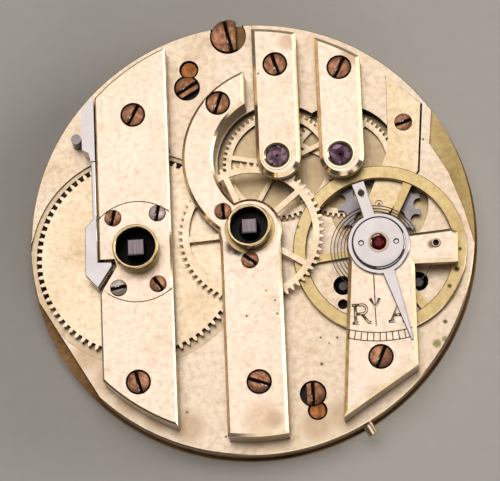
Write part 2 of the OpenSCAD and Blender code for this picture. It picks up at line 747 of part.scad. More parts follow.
// Escape cock: a flat tongue let into the plate, running under the balance to the escape pivot
module escape_cock_outline(grow) {
    polygon([[13.75 - grow, 15.5 + grow], [13.6 - grow, 8], [12.9 - grow, 6.4],
             [escape_axis[0] - 0.95 - grow, 3.3], [escape_axis[0] - 0.75 - grow, escape_axis[1] - 0.9 - grow],
             [escape_axis[0] + 0.9 + grow, escape_axis[1] - 0.9 - grow], [14.8 + grow, 3.4],
             [16.4 + grow, 5.6], [17 + grow, 12.4 + grow]]);
}
module escape_cock() {
    color(gilt)
        difference() {
            slab(escape_cock_z, plate_top) escape_cock_outline(0);
            at(escape_axis) disc(pivot_r + run, escape_cock_z - eps, plate_top + eps);
            at(escape_axis) disc(0.4, plate_top - 0.15, plate_top + eps);
            at(escape_cock_screw_at) disc(0.85 + set_fit, plate_top - 0.3, plate_top + eps);
            at(escape_cock_screw_at) disc(shank_r + set_fit, escape_cock_z - eps, plate_top);
        }
}
module escape_cock_screw() {
    color(copper)
        at(escape_cock_screw_at) screw(plate_top + 0.02, 0.85, 0.32, web_z + eps, escape_screw_slot);
}

// Balance cock: a foot on the plate, a round head over the balance and an arm for the stud
balance_foot_end = [[8.15, -18.8], [15.45, -14.1]];
module balance_cock_block() {
    head_half = balance_head_r - 0.1;
    slab(plate_top, bar_top)
        polygon([balance_axis + [-head_half, 0], balance_axis + [-head_half, -1.6], balance_foot_end[0],
                 balance_foot_end[1], balance_axis + [head_half + 0.3, -2.3],
                 balance_axis + [head_half + 0.1, 0]]);
    at(balance_axis) disc(balance_head_r, bar_under, bar_top);
    slab(bar_under, bar_top)
        polygon([balance_axis + [0, -2], stud_at + [2, -0.6 * stud_arm_w], stud_at + [2.1, 0.33 * stud_arm_w],
                 stud_at + [1.6, 0.46 * stud_arm_w], balance_axis + [2, 0.85]]);
}
upper_jewel_r = 0.8;
module balance_cock() {
    color(gilt)
        difference() {
            balance_cock_block();
            at(balance_axis) disc(balance_r + 0.6, plate_top - eps, bar_under);
            at(balance_axis) disc(upper_jewel_r + set_fit, bar_under + 0.3, bar_top + eps);
            at(balance_axis) disc(upper_jewel_r - 0.2, bar_under - eps, bar_top);
            at(stud_at) disc(stud_r + set_fit, bar_under - eps, bar_top + eps);
            at(balance_cock_screw_at) screw_seat(bar_top, bridge_screw_r, screw_head_h, plate_top - eps);
        }
}
module hairspring_stud() {
    color(brass)
        at(stud_at) difference() {
            disc(stud_r, hairspring_z - 0.2, bar_top + 0.12);
            disc(stud_r * 0.6, bar_top - 0.3, bar_top + 0.2);
        }
}
// The polished steel cap holds the ruby endstone and keeps the regulator's ring down
endcap_hub_r = endcap_r - 0.4;
module endstone_cap() {
    color(steel)
        at(balance_axis) difference() {
            union() {
                disc(endcap_hub_r, bar_top, endcap_z + eps);
                disc(endcap_r, endcap_z, endcap_z + endcap_t);
            }
            disc(endstone_r + 0.4 + set_fit, bar_top - eps, endcap_z + endcap_t + eps);
            for (s = [-1, 1])
                translate([s * 1.68, 0, 0]) disc(0.24, endcap_z + endcap_t - 0.12, endcap_z + endcap_t + eps);
        }
}
module endstone_setting() {
    color(gold)
        at(balance_axis) tube(endstone_r + 0.4, endstone_r + set_fit, bar_top, endcap_z + endcap_t + 0.04);
}
module endstone() {
    color(ruby)
        at(balance_axis) disc(endstone_r, bar_top + 0.1, endcap_z + endcap_t - 0.02);
}
module hole_jewel(z0, z1) {
    color(ruby) at(balance_axis) tube(upper_jewel_r, pivot_r + run, z0, z1);
}
module upper_balance_jewel() {
    hole_jewel(bar_under + 0.3, bar_top);
}

// Chariot: the movable piece under the plate that carries the balance's lower jewel
chariot_t = recess_h - 0.2;
chariot_z = web_z - chariot_t;
chariot_edge = 1.3;
module chariot_outline(grow) {
    edge = chariot_edge + grow;
    left = chariot_screws_at[0];
    right = chariot_screws_at[1];
    polygon([balance_axis + [-edge, edge], balance_axis + [edge, edge], right + [edge, 0],
             right + [edge, -edge], left + [-edge, -edge], left + [-edge, 0]]);
}
module chariot() {
    color(brass)
        difference() {
            slab(chariot_z, web_z) chariot_outline(0);
            at(balance_axis) disc(upper_jewel_r + set_fit, chariot_z - eps, web_z - 0.1);
            at(balance_axis) disc(upper_jewel_r - 0.2, chariot_z, web_z + eps);
            for (p = chariot_screws_at) at(p) disc(shank_r + set_fit, chariot_z - eps, web_z + eps);
        }
}
module lower_balance_jewel() {
    hole_jewel(chariot_z + 0.05, web_z - 0.1);
}
// Their round ends show as dark studs in the two large holes beside the balance cock
module chariot_screws() {
    color(dark_steel)
        for (p = chariot_screws_at) at(p) {
            disc(shank_r, chariot_z + 0.02, web_z + eps);
            disc(0.8, web_z, plate_top - 0.5);
            translate([0, 0, plate_top - 0.5]) cylinder(r1 = 0.8, r2 = 0.4, h = 0.25);
        }
}

// Barrel: a toothed drum with a snapped-in cover, the mainspring, and the arbor that winds it
cover_z = floor_z + pass;
cavity_z = cover_z + cover_t;
module barrel_drum() {
    color(brass)
        at(barrel_axis) difference() {
            union() {
                slab(barrel_rim_z, barrel_top) wheel_teeth(barrel_teeth, barrel_pitch);
                disc(drum_r, cover_z, barrel_rim_z + eps);
            }
            disc(drum_r - drum_wall, cover_z - eps, barrel_rim_z);
            disc(arbor_r + run, cover_z, barrel_top + eps);
        }
}
module barrel_cover() {
    color(brass)
        at(barrel_axis)
            tube(drum_r - drum_wall - set_fit, arbor_r * 0.8 + run, cover_z, cavity_z);
}
// One spiral strip from the core's hook out to the drum's wall
mainspring_in = core_r + 0.3;
mainspring_out = drum_r - drum_wall - mainspring_t - 0.1;
spring_steps = mainspring_turns * 20;
function mainspring_at(i, side) =
    (mainspring_in + (mainspring_out - mainspring_in) * i / spring_steps + side * mainspring_t)
    * [cos(18 * i), sin(18 * i)];
module mainspring() {
    color(dark_steel)
        at(barrel_axis) slab(cavity_z + 0.08, barrel_rim_z - 0.08)
            polygon(concat([for (i = [0 : spring_steps]) mainspring_at(i, 0)],
                           [for (i = [spring_steps : -1 : 0]) mainspring_at(i, 1)]));
}
module barrel_arbor() {
    color(dark_steel)
        at(barrel_axis) {
            disc(arbor_r / 2, web_z + 0.02, cover_z);
            disc(arbor_r * 0.8, cover_z - run, cavity_z + 0.05);
            disc(core_r, cavity_z + run, barrel_rim_z - run);
            disc(arbor_r, barrel_rim_z - 2 * run, ratchet_z);
            square_bar(winding_square, ratchet_z - eps, bar_top + winding_ring_h - 0.25);
        }
}
module ratchet_wheel() {
    step = 360 / ratchet_teeth;
    root = ratchet_r - 0.42;
    color(steel)
        at(barrel_axis) difference() {
            slab(ratchet_z, ratchet_z + ratchet_t)
                polygon([for (i = [0 : ratchet_teeth - 1], c = [[root, 0], [ratchet_r, 0.08]])
                    c[0] * [cos((i + c[1]) * step), sin((i + c[1]) * step)]]);
            square_bar(winding_square + 2 * set_fit, ratchet_z - eps, ratchet_z + 1);
        }
}

// Going train
centre_hub_r = centre_pinion_tip + 0.25;
// Each wheel is turned by whole teeth, so that its arms stand as in the watch
module centre_wheel() {
    color(brass)
        rotate(7 * 360 / centre_teeth)
            crossed_wheel(centre_teeth, centre_pitch, centre_z, centre_z + wheel_t, 0.62, 5, 0.55,
                          centre_hub_r, centre_arbor_r + set_fit);
}
module centre_pinion() {
    color(steel)
        difference() {
            union() {
                rotate(centre_pinion_phase) slab(plate_top + 2 * run, centre_z)
                    pinion_teeth(centre_leaves, centre_pinion_pitch);
                disc(centre_arbor_r, web_z + 0.02, setting_flange_z - run);
            }
            disc(setting_arbor_r + run, web_z - 1, bar_top + 1);
        }
}
// The setting arbor runs through the hollow centre arbor and carries the cannon pinion
module setting_arbor() {
    color(dark_steel) {
        disc(setting_arbor_r, 0.15, setting_flange_z + eps);
        disc(setting_square * 0.72, setting_flange_z, bar_top);
        square_bar(setting_square, bar_top - eps, bar_top + setting_ring_h - 0.2);
    }
}
cannon_pipe_r = setting_arbor_r + 0.2;
module cannon_pinion() {
    color(steel)
        difference() {
            union() {
                slab(minute_z, web_z - run) pinion_teeth(cannon_leaves, cannon_pitch);
                disc(cannon_pipe_r, 0.2, web_z - run);
            }
            disc(setting_arbor_r + set_fit / 2, 0, web_z + 1);
        }
}
module third_wheel() {
    color(brass)
        at(third_axis) rotate(4 * 360 / third_teeth)
            crossed_wheel(third_teeth, third_pitch, third_z, third_z + wheel_t, 0.5, 5, 0.45,
                          0.95, train_arbor_r + 0.15 + set_fit);
}
module third_pinion() {
    color(steel)
        at(third_axis) rotate(third_pinion_phase)
            pinion_arbor(third_leaves, third_pinion_pitch, centre_z - 0.2, centre_z + wheel_t + 0.12,
                         train_arbor_r + 0.15, third_z - 0.05, third_z + wheel_t + 0.15,
                         third_floor_z + run, bar_under - run);
}
module fourth_wheel() {
    color(brass)
        at(fourth_axis) rotate(10 * 360 / fourth_teeth)
            crossed_wheel(fourth_teeth, fourth_pitch, fourth_z, fourth_z + wheel_t, 0.5, 4, 0.45,
                          0.9, train_arbor_r + 0.1 + set_fit);
}
module fourth_pinion() {
    color(steel)
        at(fourth_axis) rotate(fourth_pinion_phase)
            pinion_arbor(fourth_leaves, fourth_pinion_pitch, fourth_z + wheel_t + 0.05,
                         third_z + wheel_t + 0.3, train_arbor_r + 0.1, fourth_z - 0.05,
                         fourth_z + wheel_t + 0.1,
                         floor_z + run, bar_under - run);
}
// Escape wheel: thin steel with round cut-outs and hooked teeth, just short of the cylinder
escape_rim_r = escape_tip - 0.55;
module escape_wheel() {
    step = 360 / escape_teeth;
    color(steel)
        at(escape_axis) difference() {
            slab(escape_z, escape_z + wheel_t)
                polygon([for (i = [0 : escape_teeth - 1],
                              c = [[escape_rim_r, 0], [escape_tip, 0.5], [escape_tip - 0.2, 0.62],
                                   [escape_rim_r, 0.3]])
                    c[0] * [cos((i + c[1]) * step), sin((i + c[1]) * step)]]);
            for (i = [0 : 3])
                rotate(45 + 90 * i) translate([0.58 * escape_rim_r, 0, 0])
                    disc(0.36 * escape_rim_r, escape_z - eps, escape_z + 1);
            disc(train_arbor_r + set_fit, escape_z - eps, escape_z + 1);
        }
}
module escape_pinion() {
    color(steel)
        at(escape_axis) rotate(escape_pinion_phase)
            pinion_arbor(escape_leaves, escape_pinion_pitch, fourth_z - 0.08, fourth_z + wheel_t + 0.08,
                         train_arbor_r, escape_z, escape_z + wheel_t, floor_z + run, escape_cock_z - run);
}

// Balance: a plain three-armed ring on the cylinder, with the collet and the hairspring above it
balance_hub_r = 1.35;
balance_arm_angles = [65, 185, 305];
balance_arm_step = 0.15;
module balance_wheel() {
    inner = balance_r - balance_rim;
    color(gold)
        at(balance_axis) difference() {
            disc(balance_r, balance_z, balance_top);
            difference() {
                disc(inner, balance_z - eps, balance_top + eps);
                disc(balance_hub_r, balance_z - 2 * eps, balance_top + 2 * eps);
                for (a = balance_arm_angles)
                    rotate(a) slab(balance_z - 2 * eps, balance_top - balance_arm_step)
                        polygon([[0.5, -balance_arm_neck / 2], [inner + 1, -balance_arm_w / 2],
                                 [inner + 1, balance_arm_w / 2], [0.5, balance_arm_neck / 2]]);
            }
            disc(cylinder_r + 0.2 + set_fit, balance_z - 3 * eps, balance_top + 3 * eps);
        }
}
module balance_staff() {
    color(steel)
        at(balance_axis) {
            disc(cylinder_r, web_z + run, balance_z + eps);
            disc(cylinder_r + 0.2, balance_z, balance_top);
            disc(cylinder_r, balance_top - eps, bar_under + 0.2);
            disc(pivot_r, chariot_z + 0.08, bar_top - 0.02);
        }
}
collet_h = 0.4;
module collet() {
    color(brass)
        at(balance_axis)
            tube(collet_r, cylinder_r + set_fit, hairspring_z - collet_h / 2, hairspring_z + collet_h / 2);
}
// Hairspring: a flat spiral from the collet out to the stud, each end straight where it meets its seat
ring_steps = 24;
spiral_steps = hairspring_turns * ring_steps;
stud_angle = heading(balance_axis, stud_at);
spiral_in = collet_r + 0.3;
spiral_out = hairspring_r - 0.02;
function spiral_at(i) =
    (spiral_in + (spiral_out - spiral_in) * i / spiral_steps)
    * [cos(stud_angle + 10 - 360 * (i - spiral_steps) / ring_steps),
       sin(stud_angle + 10 - 360 * (i - spiral_steps) / ring_steps)];
function toward(p, q, d) = p + d * (q - p) / norm(q - p);
inner_turn = spiral_at(0) * (collet_r + 0.01) / norm(spiral_at(0));
stud_local = stud_at - balance_axis;
stud_end = toward(stud_local, spiral_at(spiral_steps), stud_r + 0.01);
hairspring_path = concat(
    [inner_turn, toward(inner_turn, spiral_at(0), 2 * hairspring_wire)],
    [for (i = [1 : spiral_steps]) spiral_at(i)],
    [toward(stud_end, spiral_at(spiral_steps), 2 * hairspring_wire), stud_end]);
path_last = len(hairspring_path) - 1;
function across(i) =
    let (a = hairspring_path[max(0, i - 1)], b = hairspring_path[min(path_last, i + 1)])
    [b[1] - a[1], a[0] - b[0]] / norm(b - a);
sides = 6;
function wire_ring(i) = [for (k = [0 : sides - 1])
    let (p = hairspring_path[i], n = across(i), r = hairspring_wire)
    [p[0] + r * cos(60 * k) * n[0], p[1] + r * cos(60 * k) * n[1], r * sin(60 * k)]];
hairspring_gap = min([for (i = [0 : path_last], j = [0 : path_last])
    if (j - i > ring_steps / 2) norm(hairspring_path[i] - hairspring_path[j])]) - 2 * hairspring_wire;
echo("hairspring least gap to itself", hairspring_gap);
module hairspring() {
    rings = path_last + 1;
    points = [for (i = [0 : path_last]) each wire_ring(i)];
    walls = [for (i = [0 : path_last - 1], k = [0 : sides - 1])
        let (a = i * sides + k, b = i * sides + (k + 1) % sides)
        each [[a, b, b + sides], [a, b + sides, a + sides]]];
    caps = [for (k = [1 : sides - 2])
        each [[0, k + 1, k], [path_last * sides, path_last * sides + k, path_last * sides + k + 1]]];
    color(dark_steel)
        translate([balance_axis[0], balance_axis[1], hairspring_z])
            polyhedron(points, concat(walls, caps));
}

// Regulator: a steel ring round the endstone cap, with a long pointer, a tail and two curb pins
regulator_z = bar_top + run;
curb_r = hairspring_r - 0.2;
module regulator() {
    z1 = regulator_z + regulator_t;
    color(steel)
        at(balance_axis) rotate(pointer_angle) difference() {
            union() {
                disc(regulator_r, regulator_z, z1);
                slab(regulator_z, z1)
                    polygon([[regulator_r - 0.3, -0.6], [pointer_l, -0.12], [pointer_l, 0.12],
                             [regulator_r - 0.3, 0.6]]);
                slab(regulator_z, z1)
                    polygon([[-regulator_r + 0.3, -0.55], [-tail_l, -0.62], [-tail_l, 0.62],
                             [-regulator_r + 0.3, 0.55]]);
            }
            disc(endcap_hub_r + run, regulator_z - eps, z1 + eps);
            for (s = [-1, 1])
                translate([-curb_r + s * 0.3, 0, 0]) disc(0.09 + set_fit / 2, regulator_z - eps, z1 + eps);
        }
}
module curb_pins() {
    color(gold)
        at(balance_axis) rotate(pointer_angle)
            for (s = [-1, 1])
                translate([-curb_r + s * 0.3, 0, 0])
                    disc(0.09, hairspring_z - 0.15, regulator_z + regulator_t);
}

// Motion work under the dial: it turns the hour wheel once for twelve turns of the cannon pinion
minute_stud_r = 0.3;
module minute_stud() {
    color(steel) at(minute_axis) disc(minute_stud_r, hour_z, web_z + floor_t - 0.05);
}
module minute_wheel() {
    color(brass)
        at(minute_axis) difference() {
            union() {
                rotate(minute_phase) slab(minute_z, minute_z + minute_t)
                    wheel_teeth(minute_teeth, minute_pitch);
                slab(hour_z, minute_z + eps) pinion_teeth(minute_leaves, minute_pinion_pitch);
            }
            disc(minute_stud_r + run, hour_z - eps, web_z);
        }
}
hour_pipe_r = cannon_pipe_r + run + 0.2;
module hour_wheel() {
    color(brass)
        difference() {
            union() {
                rotate(hour_phase) slab(hour_z, hour_z + hour_t) wheel_teeth(hour_teeth, hour_pitch);
                disc(hour_pipe_r, 0.3, hour_z + eps);
            }
            disc(cannon_pipe_r + run, 0, web_z);
        }
}
// The washer lies in the dial's hole, under the hour wheel
washer_gap = 0.04;
module dial_washer() {
    color(brass) tube(dial_hole_r - 0.15, hour_pipe_r + run, dial_t - 0.1, hour_z - washer_gap);
}

main_plate();
dial();
dial_feet();
dial_foot_screws();
case_screw();
case_pin();
click_post();
barrel_bridge();
barrel_cap();
barrel_cap_screws();
winding_ring();
click_spring();
click();
bridge_screws();
centre_bridge();
setting_ring();
setting_ring_screws();
third_cock();
fourth_cock();
jewel_settings();
train_jewels();
escape_cock();
escape_cock_screw();
balance_cock();
hairspring_stud();
endstone_cap();
endstone_setting();
endstone();
upper_balance_jewel();
lower_balance_jewel();
chariot();
chariot_screws();
barrel_drum();
barrel_cover();
mainspring();
barrel_arbor();
ratchet_wheel();
centre_wheel();
centre_pinion();
setting_arbor();
cannon_pinion();
third_wheel();
third_pinion();
fourth_wheel();
fourth_pinion();
escape_wheel();
escape_pinion();
balance_wheel();
balance_staff();
collet();
hairspring();
regulator();
curb_pins();
minute_stud();
minute_wheel();
hour_wheel();
dial_washer();
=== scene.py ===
import json
import math

import bpy
from mathutils import Matrix, Vector

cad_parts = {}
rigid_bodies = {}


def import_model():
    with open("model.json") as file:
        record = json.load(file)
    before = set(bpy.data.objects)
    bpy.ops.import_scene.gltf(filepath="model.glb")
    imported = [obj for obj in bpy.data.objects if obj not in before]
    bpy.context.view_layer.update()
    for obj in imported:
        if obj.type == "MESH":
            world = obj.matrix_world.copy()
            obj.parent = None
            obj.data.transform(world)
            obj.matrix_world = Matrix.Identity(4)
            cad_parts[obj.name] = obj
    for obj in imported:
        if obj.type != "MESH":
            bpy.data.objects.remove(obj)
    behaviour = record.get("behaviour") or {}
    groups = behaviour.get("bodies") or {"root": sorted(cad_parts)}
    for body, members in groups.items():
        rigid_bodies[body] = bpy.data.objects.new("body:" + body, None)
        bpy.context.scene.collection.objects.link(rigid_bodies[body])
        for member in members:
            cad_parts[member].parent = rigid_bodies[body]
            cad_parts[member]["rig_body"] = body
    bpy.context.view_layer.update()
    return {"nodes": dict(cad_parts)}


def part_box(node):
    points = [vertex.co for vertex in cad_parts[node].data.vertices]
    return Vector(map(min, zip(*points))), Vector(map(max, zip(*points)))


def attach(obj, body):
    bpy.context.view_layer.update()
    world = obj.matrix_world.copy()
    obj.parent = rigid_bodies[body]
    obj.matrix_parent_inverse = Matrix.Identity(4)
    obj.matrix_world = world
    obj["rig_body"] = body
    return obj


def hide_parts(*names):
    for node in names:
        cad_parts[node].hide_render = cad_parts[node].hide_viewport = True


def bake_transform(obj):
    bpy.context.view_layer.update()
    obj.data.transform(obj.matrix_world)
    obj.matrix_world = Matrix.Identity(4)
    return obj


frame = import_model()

# Bench, light and camera: a pale matt board, one wide soft window overhead and two low ones, on the right and
# in front. Those brighten the chamfers that face them, and the left ones reflect the darker room.
MM = 0.001


def linear(code):
    """A linear RGBA colour from an sRGB hex code."""
    parts = [int(code[i:i + 2], 16) / 255 for i in (1, 3, 5)]
    return [c / 12.92 if c <= 0.04045 else ((c + 0.055) / 1.055) ** 2.4 for c in parts] + [1.0]


def add(material, kind, sockets=None, **settings):
    """Adds one shader node: settings are its properties, sockets holds input values or sockets to link."""
    node = material.node_tree.nodes.new(kind)
    for key, value in settings.items():
        setattr(node, key, value)
    for key, value in (sockets or {}).items():
        if isinstance(value, bpy.types.NodeSocket):
            material.node_tree.links.new(value, node.inputs[key])
        else:
            node.inputs[key].default_value = value
    return node


def new_material(name):
    """An empty node material, its Principled shader and its Object coordinates."""
    material = bpy.data.materials.new(name)
    material.use_nodes = True
    material.node_tree.nodes.clear()
    shader = add(material, "ShaderNodeBsdfPrincipled")
    add(material, "ShaderNodeOutputMaterial", {"Surface": shader.outputs["BSDF"]})
    return material, shader, add(material, "ShaderNodeTexCoord").outputs["Object"]


def plug(material, shader, **sources):
    """Links each named source to the shader's input of that name."""
    for socket, source in sources.items():
        material.node_tree.links.new(source, shader.inputs[socket.replace("_", " ")])


def per_mm(size):
    """Texture scale for a pattern whose features are this many millimetres across."""
    return 1 / (size * MM)


board, board_shader, board_place = new_material("matt_card_board")
board_tooth = add(board, "ShaderNodeTexNoise", {"Vector": board_place, "Scale": per_mm(1.5), "Detail": 3.0})
board_tone = add(board, "ShaderNodeMix", {
    0: board_tooth.outputs["Fac"], 6: linear("#dedcd8"), 7: linear("#e6e4e1")}, data_type="RGBA")
plug(board, board_shader, Base_Color=board_tone.outputs[2])
board_shader.inputs["Roughness"].default_value = 0.85
bpy.ops.object.select_all(action="DESELECT")
bpy.ops.mesh.primitive_plane_add(size=1.8, location=(0, 0, -0.03 * MM))
floor = bpy.context.object
floor.name = "bench_board"
bpy.ops.object.transform_apply(location=True)
floor.data.materials.append(board)

bpy.context.scene.view_settings.view_transform = "Standard"
world = bpy.data.worlds.new("studio")
bpy.context.scene.world = world
world.use_nodes = True
world.node_tree.nodes["Background"].inputs["Color"].default_value = linear("#d8d3cc")
world.node_tree.nodes["Background"].inputs["Strength"].default_value = 0.12


def window(name, place, aim, size, watts, tint):
    """A soft rectangular light at place that points at aim."""
    lamp = bpy.data.lights.new(name, "AREA")
    lamp.shape = "RECTANGLE"
    lamp.size, lamp.size_y = size
    lamp.energy = watts
    lamp.color = linear(tint)[:3]
    holder = bpy.data.objects.new(name, lamp)
    bpy.context.collection.objects.link(holder)
    holder.location = place
    holder.rotation_euler = (Vector(aim) - Vector(place)).to_track_quat("-Z", "Y").to_euler()


window("overhead_window", (-0.05, 0.15, 0.5), (0, 0, 0), (0.42, 0.36), 0.71, "#fff7f1")
window("right_window", (0.45, 0.1, 0.14), (0, 0, 0.004), (0.3, 0.24), 0.9, "#fffaf4")
window("front_window", (0.2, -0.44, 0.17), (0, 0, 0.004), (0.62, 0.3), 0.75, "#fffaf4")

camera_tilt, camera_side, camera_roll = math.radians(15), math.radians(13), math.radians(-2.367)
camera_distance, camera_target = 330 * MM, Vector((-0.188, -0.412, 3.3)) * MM
toward = Vector((math.sin(camera_tilt) * math.sin(camera_side),
                 -math.sin(camera_tilt) * math.cos(camera_side),
                 math.cos(camera_tilt)))
level_right = (-toward).cross(Vector((0, 1, 0))).normalized()
level_up = level_right.cross(-toward).normalized()
camera_right = level_right * math.cos(camera_roll) + level_up * math.sin(camera_roll)
camera_up = level_up * math.cos(camera_roll) - level_right * math.sin(camera_roll)
lens = bpy.data.cameras.new("bench_camera")
lens.sensor_fit, lens.sensor_width, lens.lens = "HORIZONTAL", 36, 245.7
camera = bpy.data.objects.new("bench_camera", lens)
bpy.context.collection.objects.link(camera)
camera.matrix_world = Matrix.Translation(camera_target + toward * camera_distance) @ Matrix(
    (camera_right, camera_up, toward)).transposed().to_4x4()
bpy.context.scene.camera = camera

# Main plate: rolled brass, turned, drilled, then frosted and gilt. Long handling has left it a pale champagne
# with brown stains and pin pits. Its turned sinks and its rim are darker and more olive, with painted shade.
plate_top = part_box("main_plate")[1].z / MM
flange_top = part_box("main_plate")[0].z / MM + 0.5
barrel_axis, third_axis, fourth_axis, balance_axis = (-10.9, -1.6), (2.9, 7.2), (9, 7), (12.3, -2.2)


def gilt_brass(name, pale, warm, stain, rough, olive=None, olive_z=None, spots=(), stained=0.3):
    """Gilt brass with a stoned grain: colour clouds 6 mm wide, mottle 0.5 mm, soft stains, pin pits 0.2 mm
    wide, fine scratches, and brown dirt with painted shade in corners and tooth gaps. Below olive_z
    millimetres it turns olive and darker, an olive tone with painted shade of the recesses. spots are
    single marks: x, y and radius in millimetres, and a colour.
    stained is the strength of the soft stains."""
    material, shader, place = new_material(name)
    cloud = add(material, "ShaderNodeTexNoise", {
        "Vector": place, "Scale": per_mm(6), "Detail": 4.0, "Roughness": 0.6})
    cloud_edge = add(material, "ShaderNodeMapRange", {
        "Value": cloud.outputs["Fac"], "From Min": 0.32, "From Max": 0.68})
    tone = add(material, "ShaderNodeMix", {
        0: cloud_edge.outputs["Result"], 6: linear(pale), 7: linear(warm)}, data_type="RGBA").outputs[2]
    mottle = add(material, "ShaderNodeTexNoise", {
        "Vector": place, "Scale": per_mm(0.55), "Detail": 5.0, "Roughness": 0.65})
    mottle_edge = add(material, "ShaderNodeMapRange", {
        "Value": mottle.outputs["Fac"], "From Min": 0.45, "From Max": 0.75, "To Max": 0.2})
    tone = add(material, "ShaderNodeMix", {
        0: mottle_edge.outputs["Result"], 6: tone, 7: linear(stain)}, data_type="RGBA").outputs[2]
    blot = add(material, "ShaderNodeTexNoise", {
        "Vector": place, "Scale": per_mm(3.1), "Detail": 6.0, "Roughness": 0.7})
    blot_edge = add(material, "ShaderNodeMapRange", {
        "Value": blot.outputs["Fac"], "From Min": 0.54, "From Max": 0.78, "To Max": stained})
    tone = add(material, "ShaderNodeMix", {
        0: blot_edge.outputs["Result"], 6: tone, 7: linear(stain)}, data_type="RGBA").outputs[2]
    if olive:
        # Painted shade: below olive_z the tone turns olive and darker, an olive tone with painted shade of
        # the recesses.
        height = add(material, "ShaderNodeSeparateXYZ", {"Vector": place}).outputs["Z"]
        depth = add(material, "ShaderNodeMapRange", {
            "Value": height, "From Min": (olive_z - 0.34) * MM, "From Max": olive_z * MM, "To Min": 1.0,
            "To Max": 0.0})
        tone = add(material, "ShaderNodeMix", {
            0: depth.outputs["Result"], 6: tone, 7: linear(olive)}, data_type="RGBA").outputs[2]
    pit = add(material, "ShaderNodeTexVoronoi", {"Vector": place, "Scale": per_mm(2.6)})
    pit_edge = add(material, "ShaderNodeMapRange", {
        "Value": pit.outputs["Distance"], "From Min": 0.03, "From Max": 0.06, "To Min": 0.85,
        "To Max": 0.0})
    pit_pick = add(material, "ShaderNodeSeparateColor", {"Color": pit.outputs["Color"]})
    pit_some = add(material, "ShaderNodeMath", {
        0: pit_pick.outputs["Red"], 1: 0.45}, operation="GREATER_THAN")
    pit_mask = add(material, "ShaderNodeMath", {
        0: pit_edge.outputs["Result"], 1: pit_some.outputs["Value"]}, operation="MULTIPLY")
    tone = add(material, "ShaderNodeMix", {
        0: pit_mask.outputs["Value"], 6: tone, 7: linear("#3c2d1b")}, data_type="RGBA").outputs[2]
    flat_place = add(material, "ShaderNodeVectorMath", {0: place, 1: (1, 1, 0)}, operation="MULTIPLY")
    for x, y, radius, colour in spots:
        middle = (x * MM, y * MM, 0)
        reach = add(material, "ShaderNodeVectorMath", {
            0: flat_place.outputs["Vector"], 1: middle}, operation="DISTANCE")
        ragged = add(material, "ShaderNodeMath", {
            0: mottle.outputs["Fac"], 1: radius * MM, 2: reach.outputs["Value"]}, operation="MULTIPLY_ADD")
        mark = add(material, "ShaderNodeMapRange", {
            "Value": ragged.outputs["Value"], "From Min": radius * MM, "From Max": 1.6 * radius * MM,
            "To Min": 0.9, "To Max": 0.0})
        tone = add(material, "ShaderNodeMix", {
            0: mark.outputs["Result"], 6: tone, 7: linear(colour)}, data_type="RGBA").outputs[2]
    # Painted shade with dirt: ambient occlusion darkens corners, seams and tooth gaps to dark brown.
    corner_dirt_and_shade = add(material, "ShaderNodeAmbientOcclusion", {"Distance": 0.45 * MM}, samples=6)
    corner_dirt_and_shade_edge = add(material, "ShaderNodeMapRange", {
        "Value": corner_dirt_and_shade.outputs["AO"], "From Min": 0.25, "From Max": 0.72, "To Min": 0.85, "To Max": 0.0})
    tone = add(material, "ShaderNodeMix", {
        0: corner_dirt_and_shade_edge.outputs["Result"], 6: tone, 7: linear("#2b1e10")}, data_type="RGBA").outputs[2]
    grain = add(material, "ShaderNodeTexNoise", {"Vector": place, "Scale": per_mm(0.14), "Detail": 2.0})
    stroke_map = add(material, "ShaderNodeMapping", {
        "Vector": place, "Rotation": (0, 0, 0.25), "Scale": (1.0, 0.04, 1.0)})
    stroke = add(material, "ShaderNodeTexNoise", {
        "Vector": stroke_map.outputs["Vector"], "Scale": per_mm(0.2), "Detail": 3.0})
    relief = add(material, "ShaderNodeMath", {
        0: grain.outputs["Fac"], 1: stroke.outputs["Fac"]}, operation="ADD")
    gloss = add(material, "ShaderNodeMapRange", {
        "Value": mottle.outputs["Fac"], "From Min": 0.3, "From Max": 0.75, "To Min": rough - 0.02,
        "To Max": rough + 0.1})
    bump = add(material, "ShaderNodeBump", {
        "Height": relief.outputs["Value"], "Strength": 0.3, "Distance": 0.012 * MM})
    plug(material, shader, Base_Color=tone, Roughness=gloss.outputs["Result"], Normal=bump.outputs["Normal"])
    shader.inputs["Metallic"].default_value = 1.0
    return material


def filed_gilt(name, bright, dull):
    """Filed and burnished brass on a chamfer: smooth, with file strokes 0.15 mm apart and brown dirt."""
    material, shader, place = new_material(name)
    dirt = add(material, "ShaderNodeTexNoise", {"Vector": place, "Scale": per_mm(0.9), "Detail": 4.0})
    tone = add(material, "ShaderNodeMix", {
        0: dirt.outputs["Fac"], 6: linear(bright), 7: linear(dull)}, data_type="RGBA")
    stroke = add(material, "ShaderNodeTexNoise", {"Vector": place, "Scale": per_mm(0.15), "Detail": 2.0})
    bump = add(material, "ShaderNodeBump", {
        "Height": stroke.outputs["Fac"], "Strength": 0.15, "Distance": 0.008 * MM})
    gloss = add(material, "ShaderNodeMapRange", {"Value": dirt.outputs["Fac"], "To Min": 0.1, "To Max": 0.3})
    plug(material, shader, Base_Color=tone.outputs[2], Roughness=gloss.outputs["Result"],
         Normal=bump.outputs["Normal"])
    shader.inputs["Metallic"].default_value = 1.0
    return material


